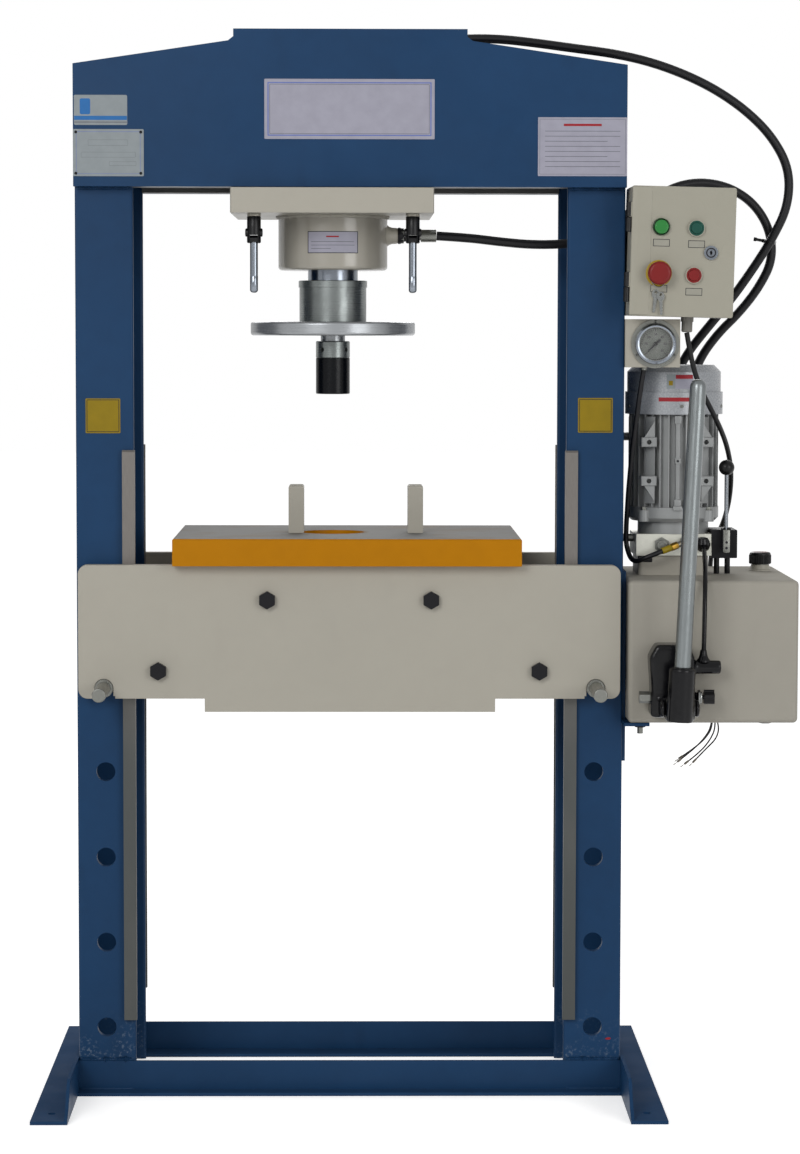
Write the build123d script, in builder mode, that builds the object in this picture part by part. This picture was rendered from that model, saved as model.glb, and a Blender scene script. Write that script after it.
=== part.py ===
from build123d import *
from math import cos, radians, sin, tan
import os

# Hydraulic workshop press: a two-post frame with a height-set bed, a cylinder on a sliding carriage
# and a motor-driven power unit on the right post. Millimetres, +Z up, the front faces -Y.
# The origin is the centre of the four anchor holes, at floor level.

# Frame
clear_width = 748.0
post_width = 100.0
post_depth = 280.0
web = 10.0
flange = 14.0
inner_x = clear_width / 2
outer_x = inner_x + post_width
front_y = post_depth / 2
hose_hole = (15.0, 1506.0)

# Support pins and their holes
pin_radius = 16.0
pin_hole_radius = 16.5
pin_first = 115.0
pin_pitch = 150.0
pin_rows = 6
pin_row_used = 4
pin_x = inner_x + 51.0
pin_z = pin_first + pin_pitch * pin_row_used
pin_stub_radius = 12.0
pin_stub_length = 113.0

# Crown
crown_low = 1577.0
crown_thick = 28.0
crown_end_height = 208.5
crown_knee_height = 248.0
crown_step_height = 255.0
crown_height = 268.0
crown_knee_x = 209.0
crown_top_x = 200.0
post_height = crown_low + 206.0
crown_y = front_y + crown_thick
rail_width = 35.0
rail_thick = 25.0

# Foot and cross angles
foot_length = 775.0
foot_leg = 63.0
foot_thick = 6.0
foot_full = 640.0
foot_cut = 724.0
foot_toe = 20.0
anchor_x = outer_x + 31.0
anchor_y = 330.0
anchor_radius = 7.0
cross_height = 56.0
cross_thick = 6.0
cross_reach = 36.0
rear_cross_reach = 50.0

# Guide strips
strip_width = 22.0
strip_thick = 10.0
strip_low = 129.0
strip_high = 1125.0
strip_overhang = 2.0

# Bed
bed_gap = 2.0
bed_thick = 25.0
bed_left = 5.0 - outer_x
bed_right = outer_x - 7.0
bed_below_pin = 18.0
bed_above_pin = 213.0
bed_corner = 16.0
bed_skirt_x = 251.0
bed_skirt_depth = 23.0
bed_inner_y = front_y + strip_thick + bed_gap
bed_outer_y = bed_inner_y + bed_thick
bed_low = pin_z - bed_below_pin
bed_top = pin_z + bed_above_pin
notch_radius = 16.3
notch_mouth = 19.5
bolt_places = [(-143.0, 868.0), (140.0, 868.0), (-331.0, 745.0), (327.0, 745.0)]
bolt_radius = 9.0
bolt_across = 27.0
bolt_head = 11.0
spacer_radius = 21.0
bolt_clearance = 0.5

# Bolster plate and press bars
bolster_x = -5.0
bolster_length = 600.0
bolster_depth = 410.0
bolster_thick = 47.0
bolster_hole_radius = 56.0
bar_places = [-95.5, 115.0]
bar_width = 27.0
bar_depth = 60.0
bar_height = 84.0
bolster_top = bed_top + bolster_thick

# Carriage and cylinder
ram_x = -31.0
carriage_length = 348.0
carriage_depth = 390.0
carriage_thick = 43.0
carriage_drop = 2.0
hanger_clearance = 0.2
hanger_thick = 25.0
hanger_depth = 2 * (front_y - 1.0)
cylinder_radius = 96.0
bore_radius = 70.0
cylinder_below_carriage = 95.0
cylinder_head = 60.0
cylinder_cap = 20.0
cylinder_height = 330.0
rod_radius = 44.0
rod_clearance = 0.05
piston_thick = 40.0
carriage_top = crown_low - carriage_drop
carriage_low = carriage_top - carriage_thick
cylinder_low = carriage_low - cylinder_below_carriage
cylinder_top = cylinder_low + cylinder_height
port_z = cylinder_low + 61.0
port_boss_radius = 13.0
port_boss_end = ram_x + 115.0
port_nipple_end = ram_x + 125.0
ferrule_end = ram_x + 182.0
hose_radius = 8.0
hose_seat = 0.5

# Ram nut, handwheel and nose
rod_exposed = 18.0
nut_radius = 59.0
nut_height = 72.0
nut_step = 1.5
nut_step_height = 12.0
nut_shoulder = 28.0
spindle_radius = 25.0
spindle_clearance = 0.3
spindle_reach = 200.0
wheel_radius = 145.0
wheel_thick = 24.0
wheel_gap = 0.3
neck_radius = 21.5
neck_height = 10.0
nose_radius = 30.0
collar_height = 30.0
nose_height = 63.0
journal_radius = 18.0
journal_clearance = 0.05
journal_depth = 70.0
tommy_radius = 4.0
tommy_count = 4
nut_top = cylinder_low - rod_exposed
nut_low = nut_top - nut_height
wheel_top = nut_low - wheel_gap
wheel_low = wheel_top - wheel_thick
neck_low = wheel_low - neck_height
collar_low = neck_low - collar_height
nose_low = collar_low - nose_height

# Lock handles
lock_places = [-165.5, 107.3]
lock_y = -(front_y + crown_thick / 2)
lock_stud_radius = 8.0
lock_stud_gap = 0.3
lock_hub_radius = 12.0
lock_hub_drop = 25.0
lock_hub_height = 26.0
lock_lever_radius = 6.75
lock_lever_length = 84.0
lock_pin_radius = 3.0

# Tank and its bracket
bracket_thick = 6.0
bracket_low = 583.0
bracket_high = 915.0
bracket_depth = 260.0
shelf_reach = 42.0
shelf_thick = 6.0
tank_x = outer_x + bracket_thick
tank_length = 294.0
tank_front = -190.0
tank_back = 170.0
tank_low = 656.0
tank_height = 247.0
tank_corner = 8.0
tank_wall = 4.0
tank_right = tank_x + tank_length
tank_top = tank_low + tank_height
bracket_bolt_x = outer_x + 33.0
bracket_bolt_ys = [-120.0, 100.0]
bracket_bolt_radius = 5.0
filler_x = outer_x + 262.0
filler_y = 60.0
filler_radius = 15.0
filler_bore = 13.0
filler_height = 12.0
cap_radius = 19.0
cap_height = 21.0
cap_plug_clearance = 0.05
cap_plug_depth = 10.0
drain_x = outer_x + 254.0
drain_y = -100.0
drain_radius = 11.0
drain_drop = 10.0

# Motor and manifold
motor_x = outer_x + 98.0
motor_y = -10.0
pedestal_height = 35.0
pedestal_inset = 5.0
pedestal_depth = 120.0
manifold_left = outer_x + 27.0
manifold_right = outer_x + 161.0
manifold_front = -70.0
manifold_back = 60.0
manifold_thick = 38.0
adapter_radius = 62.5
adapter_height = 14.0
end_flange_height = 33.0
end_flange_radius = 80.0
frame_height = 163.0
frame_radius = 68.0
fin_tip_radius = 79.0
fin_thick = 2.4
fin_count = 32
lug_places_x = [-50.0, 50.0]
lug_heights = [47.0, 115.0]
lug_width = 27.0
lug_height = 17.0
lug_hole_radius = 4.0
cover_ring_radius = 86.0
cover_ring_height = 39.0
cover_radius = 82.5
cover_height = 47.0
cover_wall = 2.5
cover_chamfer = 12.0
vent_count = 16
vent_width = 4.0
fan_radius = 64.0
fan_hub_radius = 16.0
fan_blades = 7
fan_blade_thick = 3.0
shaft_radius = 9.0
shaft_clearance = 0.05
shaft_below_shield = 40.0
pedestal_top = tank_top + pedestal_height
manifold_top = pedestal_top + manifold_thick
adapter_top = manifold_top + adapter_height
end_flange_top = adapter_top + end_flange_height
frame_top = end_flange_top + frame_height
ring_top = frame_top + cover_ring_height
cover_top = ring_top + cover_height
junction_width = 95.0
junction_height = 80.0
junction_depth = 22.0
junction_gland = 40.0

# Manifold ports
plug_x = manifold_left + 46.0
plug_z = manifold_top - 19.0
plug_radius = 9.0
port_across = 24.0
port_nut = 22.0
port_top = manifold_top + 26.0
pressure_port_x = manifold_left + 55.0
return_port_x = manifold_left + 97.0
gauge_port_x = manifold_left + 87.0
gauge_port_z = manifold_top - 13.0
gauge_port_across = 17.0
gauge_port_reach = 10.0
elbow_x = manifold_right - 17.0
elbow_radius = 11.0
elbow_reach = 15.0
stub_y = -20.0
stub_z = manifold_top - 9.0
stub_radius = 7.0
stub_reach = 20.0
swivel_radius = 5.0

# Valve block and lever
valve_left = manifold_right
valve_right = valve_left + 46.0
valve_front = -60.0
valve_back = 20.0
valve_low = tank_top + 30.0
valve_top = tank_top + 80.0
lever_x = valve_left + 25.0
lever_pivot_y = valve_front - 10.0
lever_pivot_z = valve_low + 34.0
lever_lug_half = 3.5
lever_lug_gap = 0.3
ear_thick = 4.0
lever_pin_radius = 3.0
lever_pin_clearance = 0.05
lever_rod_radius = 3.5
lever_ball_radius = 12.0
lever_length = 126.0
valve_pipe_xs = [valve_left + 14.0, valve_left + 33.0]
valve_pipe_radius = 5.0

# Hand pump
pump_x = outer_x + 88.0
pump_left = pump_x - 50.0
pump_right = pump_x + 28.0
pump_low = 668.0
pump_top = 797.0
pump_depth = 55.0
pump_front = tank_front - pump_depth
pump_pivot_y = pump_front - 23.0
pump_pivot_z = 690.0
pump_pin_radius = 6.0
pump_pin_clearance = 0.05
pump_hub_radius = 20.0
pump_ear_thick = 8.0
pump_ear_gap = 0.4
socket_width = 50.0
socket_radius = 23.0
socket_y = pump_pivot_y - 22.0
socket_top = 762.0
handle_radius = 13.25
handle_top_x = pump_x + 25.0
handle_top_z = 1251.0
handle_seat = 22.0
pump_arm = 32.0
pump_arm_thick = 14.0
pump_slot_clearance = 2.0
plunger_radius = 7.0
plunger_clearance = 0.05
plunger_gap = 0.2
plunger_length = 60.0
plunger_bore_top = 790.0
barrel_radius = 12.0
barrel_end = pump_right + 46.0
barrel_z = 757.0
release_z = 705.0
release_boss_end = pump_right + 12.0
release_stem_radius = 4.0
release_stem_clearance = 0.05
release_knob_radius = 13.0
release_knob_low = pump_right + 17.0
release_knob_high = pump_right + 35.0
pump_port_y = tank_front - pump_depth / 2 - 7.0
pump_plug_end = pump_left - 16.0

# Control box
box_width = 178.0
box_height = 221.0
box_depth = 130.0
box_wall = 2.0
box_centre = (outer_x + 93.0, -205.0, 1466.5)
box_tilt = 1.4
door_thick = 2.0
door_gap = 0.3
door_lip = 8.0
door_corner = 4.0
hinge_radius = 4.0
hinge_offset = 4.5
hinge_depth = 3.0
hinge_half = 25.0
hinge_slip = 0.5
hinge_centres = [57.0, -62.0]
hinge_wing = 16.0
hinge_wing_thick = 1.5
control_hole_radius = 11.2
control_stem_radius = 10.5
bezel_radius = 14.5
bezel_height = 5.0
start_place = (22.0, 40.5)
lamp_place = (-38.0, 41.5)
stop_place = (20.0, -39.5)
estop_place = (-40.0, -37.5)
lock_place = (48.0, -0.5)
button_radius = 9.5
button_bore = 9.8
button_height = 3.0
button_body = 32.0
estop_neck_radius = 9.6
estop_radius = 20.0
estop_gap = 10.0
estop_height = 14.0
lamp_radius = 12.0
lamp_height = 9.0
cam_lock_radius = 10.0
cam_lock_flange = 12.0
cam_length = 26.0
gland_place = 17.5
gland_radius = 11.0
gland_height = 26.0
gland_depth = -65.0
mains_radius = 4.5
key_ring_radius = 16.0
key_ring_wire = 0.8

# Gauge
gauge_x = outer_x + 52.0
gauge_z = 1309.5
gauge_plate_y = -148.5
gauge_plate_thick = 3.0
gauge_plate_low = 1269.0
gauge_plate_high = 1352.0
gauge_plate_right = outer_x + 95.0
gauge_return = 45.0
gauge_flange_radius = 42.0
gauge_flange_thick = 3.0
gauge_bezel_radius = 34.0
gauge_bezel_height = 12.0
gauge_window = 28.0
gauge_case_radius = 30.0
gauge_case_depth = 34.0
gauge_hole_clearance = 0.5
dial_thick = 1.0
glass_thick = 2.0
needle_thick = 1.2
needle_length = 22.0
needle_tail = 8.0
needle_clearance = 0.05
needle_axis_radius = 1.5
gauge_face_y = gauge_plate_y - gauge_plate_thick
gauge_front_y = gauge_face_y - gauge_flange_thick - gauge_bezel_height

# Oil pipes between pump, manifold and tank
pipe_radius = 4.0
gauge_hose_radius = 2.75
core_radius = 1.4
terminal_sleeve_radius = 2.2
terminal_sleeve = 8.0
terminal_width = 6.0
terminal_fork = 9.0

# Routes: runs beside the right post are measured across from its outer face


def beside(points):
    """Points of a route that keep their distance from the right post's outer face."""
    return [(outer_x + x, y, z) for x, y, z in points]


pressure_hose_route = [
    (5, 0, 1792), (66, 0, 1814), (129, 0, 1833), (194, 0, 1843), (260, 0, 1843),
    (325, 0, 1836), (391, 0, 1827), (456, 1, 1819),
] + beside([
    (46, 4, 1806), (109, 8, 1785), (169, 12, 1757), (225, 19, 1720), (272, 26, 1675),
    (304, 31, 1618), (303, 36, 1553), (276, 43, 1495), (242, 53, 1440), (206, 69, 1387),
    (167, 87, 1338), (129, 102, 1288), (103, 107, 1230), (90, 103, 1170), (84, 98, 1110),
    (82, 95, 1055), (82, 95, 1002),
])
return_hose_route = [
    (151.8, 0, 1498), (207, 0, 1495), (263, 1, 1488), (319, 3, 1483), (375, 6, 1484), (430, 9, 1490),
] + beside([
    (7, 17, 1511), (47, 30, 1549), (89, 45, 1583), (142, 53, 1597), (197, 58, 1589),
    (244, 59, 1560), (274, 60, 1513), (280, 65, 1458), (257, 77, 1409), (224, 88, 1365),
    (186, 103, 1326), (155, 113, 1281), (138, 114, 1228), (130, 111, 1172), (126, 105, 1117),
    (124, 98, 1058), (124, 95, 1002),
])
gauge_hose_route = beside([
    (35, -118, 1264), (29, -117, 1226), (25, -114, 1191), (21, -108, 1156), (17, -101, 1121),
    (15, -92, 1087), (13, -81, 1053), (12, -70, 1018), (11, -59, 984), (12, -53, 951),
    (22, -78, 925), (46.4, -106.3, 938.6), (78, -94, 950),
])
mains_cable_route = beside([
    (107.2, -140, 1329), (116, -137, 1278), (134, -126, 1230), (158, -102, 1189), (177, -65, 1157),
    (192, -24, 1127), (203, 8, 1087), (205, 37, 1042), (200, 67, 999), (191, 106, 965),
    (185, 152, 937), (185, 186, 895), (188, 196, 842), (191, 195, 789), (193, 193, 736),
    (194, 191, 683), (194, 188, 630),
])
core_routes = [
    beside([(192, 186, 629.4), (191, 186, 606), (178, 185, 584), (156, 184, 562), (134, 183, 545)]),
    beside([(196, 186, 629.4), (199, 187, 606), (190, 189, 582), (171, 190, 558), (148, 191, 540)]),
    beside([(196, 190, 629.4), (206, 193, 608), (202, 195, 583), (182, 196, 563), (163, 196, 543)]),
    beside([(192, 190, 629.4), (194, 193, 605), (181, 194, 583), (161, 195, 565), (138, 196, 549)]),
]
pump_pipe_route = beside([
    (132, -224.5, 769.3), (133, -224, 803), (134, -219, 838), (135, -212, 872), (137, -198, 904),
    (139, -173, 928), (141, -141, 944), (143, -112, 953), (144, -85.5, 957),
])


def block(x, y, z, mode=Mode.ADD):
    """A box given as three (low, high) spans."""
    with Locations((sum(x) / 2, sum(y) / 2, sum(z) / 2)):
        Box(x[1] - x[0], y[1] - y[0], z[1] - z[0], mode=mode)


def rod(start, direction, radius, length, mode=Mode.ADD):
    """A cylinder from a point along a direction."""
    with Locations(Plane(origin=start, z_dir=direction)):
        Cylinder(radius, length, align=(Align.CENTER, Align.CENTER, Align.MIN), mode=mode)


def post(place, radius, low, high, mode=Mode.ADD):
    """A vertical cylinder between two heights."""
    rod((place[0], place[1], low), (0, 0, 1), radius, high - low, mode)


def hexagon(start, direction, across, length):
    """A hexagonal head or nut."""
    with BuildSketch(Plane(origin=start, z_dir=direction)) as outline:
        RegularPolygon(across / 2, 6, major_radius=False)
    extrude(outline.sketch, amount=length)


def tube(points, radius):
    """A cord of straight runs joined by arcs as large as the runs allow."""
    corners = []
    for before, here, after in zip(points, points[1:], points[2:]):
        into = Vector(*here) - Vector(*before)
        out = Vector(*after) - Vector(*here)
        half_turn = radians(into.get_angle(out)) / 2
        corners.append(0.45 * min(into.length, out.length) / tan(half_turn))
    with BuildLine() as route:
        FilletPolyline(*points, radius=corners)
    start = Plane(origin=route.line @ 0, z_dir=route.line % 0)
    with BuildSketch(start) as section:
        Circle(radius)
    sweep(section.sketch, path=route.line)
    print("cord radii from", round(min(corners), 1), "length", round(route.wires()[0].length, 1))


def save(piece, name):
    """Label a finished piece and write its file."""
    piece.part.label = name
    export_step(piece.part, f"parts/{name}.step")


def save_group(pieces, name):
    """Write pieces that touch to one file, each as its own solid."""
    group = Compound([solid for piece in pieces for solid in piece.part.solids()])
    group.label = name
    export_step(group, f"parts/{name}.step")


os.makedirs("parts", exist_ok=True)

# Uprights: channels with the web outside and pin holes through both flanges
for side, name in ((-1, "left_upright"), (1, "right_upright")):
    with BuildPart() as upright:
        with BuildSketch():
            with Locations((side * (inner_x + post_width / 2), 0)):
                Rectangle(post_width, post_depth)
            with Locations((side * (inner_x + (post_width - web) / 2), 0)):
                Rectangle(post_width - web, post_depth - 2 * flange, mode=Mode.SUBTRACT)
        extrude(amount=post_height)
        tips = upright.edges().filter_by(Axis.Z).group_by(lambda e: round(abs(e.center().X), 3))[0]
        fillet(tips, flange / 3)
        heels = upright.edges().filter_by(Axis.Z).group_by(lambda e: round(abs(e.center().X), 3))[-1]
        fillet(heels, web / 3)
        for row in range(pin_rows):
            height = pin_first + pin_pitch * row
            rod((side * pin_x, -front_y, height), (0, 1, 0), pin_hole_radius, post_depth, Mode.SUBTRACT)
        if side > 0:
            rod((outer_x - web, *hose_hole), (1, 0, 0), 2 * hose_radius, web, Mode.SUBTRACT)
    save(upright, name)

# Crown plates: one each side of the uprights, stepped in the middle and sloping to the ends
with BuildPart() as crown_plates:
    for y in (-front_y, crown_y):
        with BuildSketch(Plane.XZ.offset(-y)):
            with BuildLine():
                Polyline(
                    (-crown_top_x, crown_low + crown_height),
                    (-crown_top_x, crown_low + crown_step_height),
                    (-crown_knee_x, crown_low + crown_knee_height),
                    (-outer_x, crown_low + crown_end_height),
                    (-outer_x, crown_low),
                    (outer_x, crown_low),
                    (outer_x, crown_low + crown_end_height),
                    (crown_knee_x, crown_low + crown_knee_height),
                    (crown_top_x, crown_low + crown_step_height),
                    (crown_top_x, crown_low + crown_height),
                    close=True,
                )
            make_face()
        extrude(amount=crown_thick)
save(crown_plates, "crown_plates")

# Crown rails: bars that carry the hanger plate, with the cylinder's slot between them
with BuildPart() as crown_rails:
    for side in (-1, 1):
        rail_y = sorted((side * front_y, side * (front_y - rail_width)))
        block((-inner_x, inner_x), rail_y, (crown_low, crown_low + rail_thick))
save(crown_rails, "crown_rails")

# Cross angles at the floor, front and rear
with BuildPart() as cross_angles:
    block((-outer_x, outer_x), (-front_y - cross_thick, -front_y), (0, cross_height))
    block((-outer_x, outer_x), (-front_y - cross_reach, -front_y - cross_thick), (0, cross_thick))
    block((-outer_x, outer_x), (front_y, front_y + rear_cross_reach), (0, cross_thick))
    rear_wall = (front_y + rear_cross_reach - cross_thick, front_y + rear_cross_reach)
    block((-outer_x, outer_x), rear_wall, (cross_thick, cross_height))
save(cross_angles, "cross_angles")

# Feet: angles along the outside of each upright, with cut-down toes and anchor holes
with BuildPart() as feet:
    for side in (-1, 1):
        with BuildSketch(Plane.YZ.offset(side * outer_x)):
            with BuildLine():
                Polyline(
                    (-foot_length / 2, 0),
                    (foot_length / 2, 0),
                    (foot_length / 2, foot_thick),
                    (foot_cut / 2, foot_toe),
                    (foot_full / 2, foot_leg),
                    (-foot_full / 2, foot_leg),
                    (-foot_cut / 2, foot_toe),
                    (-foot_length / 2, foot_thick),
                    close=True,
                )
            make_face()
        extrude(amount=side * foot_thick)
        reach = sorted((side * outer_x, side * (outer_x + foot_leg)))
        block(reach, (-foot_length / 2, foot_length / 2), (0, foot_thick))
        for y in (-anchor_y, anchor_y):
            post((side * anchor_x, y), anchor_radius, 0, foot_thick, Mode.SUBTRACT)
    fillet(feet.edges().filter_by(Axis.X).group_by(Axis.Z)[-1], foot_toe)
save(feet, "feet")

# Guide strips: bare bars that the bed plates run along
with BuildPart() as guide_strips:
    for side in (-1, 1):
        strip_x = sorted((side * (inner_x - strip_overhang), side * (inner_x - strip_overhang + strip_width)))
        for face in (-1, 1):
            strip_y = sorted((face * front_y, face * (front_y + strip_thick)))
            block(strip_x, strip_y, (strip_low, strip_high))
    chamfer(guide_strips.edges().group_by(Axis.Z)[-1].filter_by(Axis.X), strip_thick / 3)
save(guide_strips, "guide_strips")

# Bed plates: notched over the pins, with a deeper middle and spacer bolts
with BuildPart() as bed_plates:
    for inner_face in (-bed_inner_y, bed_outer_y):
        with BuildSketch(Plane.XZ.offset(-inner_face)) as outline:
            with BuildLine():
                Polyline(
                    (bed_left, bed_low),
                    (-bed_skirt_x, bed_low),
                    (-bed_skirt_x, bed_low - bed_skirt_depth),
                    (bed_skirt_x, bed_low - bed_skirt_depth),
                    (bed_skirt_x, bed_low),
                    (bed_right, bed_low),
                    (bed_right, bed_top),
                    (bed_left, bed_top),
                    close=True,
                )
            make_face()
            ends = outline.vertices().group_by(Axis.X)
            fillet(ends[0] + ends[-1], bed_corner)
            for pin_side in (-1, 1):
                with Locations((pin_side * pin_x, pin_z)):
                    Circle(notch_radius, mode=Mode.SUBTRACT)
                with Locations((pin_side * pin_x, (pin_z + bed_low) / 2)):
                    Rectangle(2 * notch_radius, pin_z - bed_low, mode=Mode.SUBTRACT)
                with Locations((pin_side * pin_x, bed_low)):
                    Rectangle(2 * notch_mouth, bed_below_pin / 2, mode=Mode.SUBTRACT)
            with Locations(*bolt_places):
                Circle(bolt_radius + bolt_clearance, mode=Mode.SUBTRACT)
        extrude(amount=bed_thick)
save(bed_plates, "bed_plates")

# Spacer tubes between the bed plates, and the bolts through them
with BuildPart() as bed_spacers:
    for x, z in bolt_places:
        rod((x, -bed_inner_y, z), (0, 1, 0), spacer_radius, 2 * bed_inner_y)
        rod((x, -bed_inner_y, z), (0, 1, 0), bolt_radius + bolt_clearance, 2 * bed_inner_y, Mode.SUBTRACT)
save(bed_spacers, "bed_spacers")

with BuildPart() as bed_bolts:
    for x, z in bolt_places:
        rod((x, -bed_outer_y, z), (0, 1, 0), bolt_radius, 2 * bed_outer_y)
        hexagon((x, -bed_outer_y, z), (0, -1, 0), bolt_across, bolt_head)
        hexagon((x, bed_outer_y, z), (0, 1, 0), bolt_across, bolt_head)
save(bed_bolts, "bed_bolts")

# Bolster plate with its round hole, and the two press bars that stand on it
with BuildPart() as bolster_plate:
    bolster_span = (bolster_x - bolster_length / 2, bolster_x + bolster_length / 2)
    block(bolster_span, (-bolster_depth / 2, bolster_depth / 2), (bed_top, bolster_top))
    chamfer(bolster_plate.edges().group_by(Axis.Z)[-1], 2)
    post((ram_x, 0), bolster_hole_radius, bed_top, bolster_top, Mode.SUBTRACT)
save(bolster_plate, "bolster_plate")

with BuildPart() as press_bars:
    for x in bar_places:
        block((x - bar_width / 2, x + bar_width / 2), (-bar_depth / 2, bar_depth / 2),
              (bolster_top, bolster_top + bar_height))
    fillet(press_bars.edges().group_by(Axis.Z)[-1], bar_width / 6)
save(press_bars, "press_bars")

# Support pins, thicker where they carry the bed and turned down at the front to pull on
for side, name in ((-1, "left_pin"), (1, "right_pin")):
    with BuildPart() as pin:
        pin_reach = bed_outer_y + 5
        rod((side * pin_x, -pin_reach, pin_z), (0, 1, 0), pin_radius, 2 * pin_reach)
        chamfer(pin.edges().filter_by(GeomType.CIRCLE), 1.5)
        rod((side * pin_x, -pin_reach, pin_z), (0, -1, 0), pin_stub_radius, pin_stub_length)
        fillet(pin.edges().filter_by(GeomType.CIRCLE).group_by(Axis.Y)[0], 2)
    save(pin, name)

# Carriage plate under the rails and hanger plate on top of them
with BuildPart() as carriage_plate:
    carriage_span = (ram_x - carriage_length / 2, ram_x + carriage_length / 2)
    block(carriage_span, (-carriage_depth / 2, carriage_depth / 2), (carriage_low, carriage_top))
    fillet(carriage_plate.edges().filter_by(Axis.Z), 4)
    for x in lock_places:
        post((x, lock_y), lock_stud_radius + 0.5, carriage_low, carriage_top, Mode.SUBTRACT)
    hanger_low = crown_low + rail_thick + hanger_clearance
    block(carriage_span, (-hanger_depth / 2, hanger_depth / 2), (hanger_low, hanger_low + hanger_thick))
    post((ram_x, 0), cylinder_radius, carriage_low, hanger_low + hanger_thick, Mode.SUBTRACT)
save(carriage_plate, "carriage_plate")

# Cylinder: barrel with a bored head below, a cap above and a boss for the hose
with BuildPart() as cylinder_body:
    post((ram_x, 0), cylinder_radius, cylinder_low, cylinder_top)
    fillet(cylinder_body.edges().filter_by(GeomType.CIRCLE).group_by(Axis.Z)[0], 6)
    post((ram_x, 0), bore_radius, cylinder_low + cylinder_head, cylinder_top - cylinder_cap, Mode.SUBTRACT)
    post((ram_x, 0), rod_radius + rod_clearance, cylinder_low, cylinder_low + cylinder_head, Mode.SUBTRACT)
    rod((ram_x + cylinder_radius - 10, 0, port_z), (1, 0, 0), port_boss_radius, port_boss_end - ram_x
        - cylinder_radius + 10)
save(cylinder_body, "cylinder_body")

# Hose fittings that ride on the cylinder
with BuildPart() as port_fittings:
    hexagon((port_boss_end, 0, port_z), (1, 0, 0), 2 * port_boss_radius - 3, port_nipple_end - port_boss_end)
    rod((port_nipple_end, 0, port_z), (1, 0, 0), hose_radius, ferrule_end - 27 - port_nipple_end)
    rod((ferrule_end - 27, 0, port_z), (1, 0, 0), hose_radius + 3, 27)
    post((ram_x, 0), port_boss_radius, cylinder_top, cylinder_top + 25)
    hose_start = Vector(*pressure_hose_route[0])
    hose_heading = (Vector(*pressure_hose_route[1]) - hose_start).normalized()
    rod(hose_start - hose_heading * 38, hose_heading, hose_radius + 2, 38 - hose_seat)
save(port_fittings, "port_fittings")

# Piston and rod, bored for the handwheel's spindle
with BuildPart() as piston_rod:
    piston_top = cylinder_top - cylinder_cap - 5
    post((ram_x, 0), rod_radius, nut_low + nut_shoulder, piston_top - piston_thick)
    post((ram_x, 0), bore_radius - 0.1, piston_top - piston_thick, piston_top)
    post((ram_x, 0), spindle_radius + spindle_clearance, nut_low + nut_shoulder, wheel_top + spindle_reach + 5,
         Mode.SUBTRACT)
# Ram nut, a sleeve with a raised top ring that closes round the end of the rod
with BuildPart() as ram_nut:
    post((ram_x, 0), nut_radius, nut_low, nut_top - nut_step_height)
    post((ram_x, 0), nut_radius + nut_step, nut_top - nut_step_height, nut_top)
    chamfer(ram_nut.edges().filter_by(GeomType.CIRCLE).group_by(Axis.Z)[-1], 1)
    post((ram_x, 0), rod_radius, nut_low + nut_shoulder, nut_top, Mode.SUBTRACT)
    post((ram_x, 0), spindle_radius + spindle_clearance, nut_low, nut_low + nut_shoulder, Mode.SUBTRACT)
save_group([piston_rod, ram_nut], "piston_rod")

# Handwheel with its screw spindle, which turns in the ram and feeds the nose
with BuildPart() as handwheel:
    post((ram_x, 0), wheel_radius, wheel_low, wheel_top)
    fillet(handwheel.edges().filter_by(GeomType.CIRCLE), 5)
    post((ram_x, 0), neck_radius, neck_low, wheel_low)
    post((ram_x, 0), spindle_radius, wheel_top, wheel_top + spindle_reach)
    post((ram_x, 0), journal_radius, neck_low - journal_depth, neck_low)
save(handwheel, "handwheel")

# Nose: a steel collar with tommy holes and a black tip, both bored for the spindle's journal
with BuildPart() as nose_collar:
    post((ram_x, 0), nose_radius, collar_low, neck_low)
    chamfer(nose_collar.edges().filter_by(GeomType.CIRCLE), 1.5)
    post((ram_x, 0), journal_radius + journal_clearance, collar_low, neck_low, Mode.SUBTRACT)
    with Locations((ram_x, 0, (collar_low + neck_low) / 2)):
        with PolarLocations(0, tommy_count, start_angle=-90):
            Cylinder(tommy_radius, nose_radius + 5, rotation=(0, 90, 0),
                     align=(Align.CENTER, Align.CENTER, Align.MIN), mode=Mode.SUBTRACT)
save(nose_collar, "nose_collar")

with BuildPart() as nose_tip:
    post((ram_x, 0), nose_radius, nose_low, collar_low)
    fillet(nose_tip.edges().filter_by(GeomType.CIRCLE).group_by(Axis.Z)[0], 2)
    post((ram_x, 0), journal_radius + journal_clearance, neck_low - journal_depth - 1, collar_low, Mode.SUBTRACT)
save(nose_tip, "nose_tip")

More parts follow.
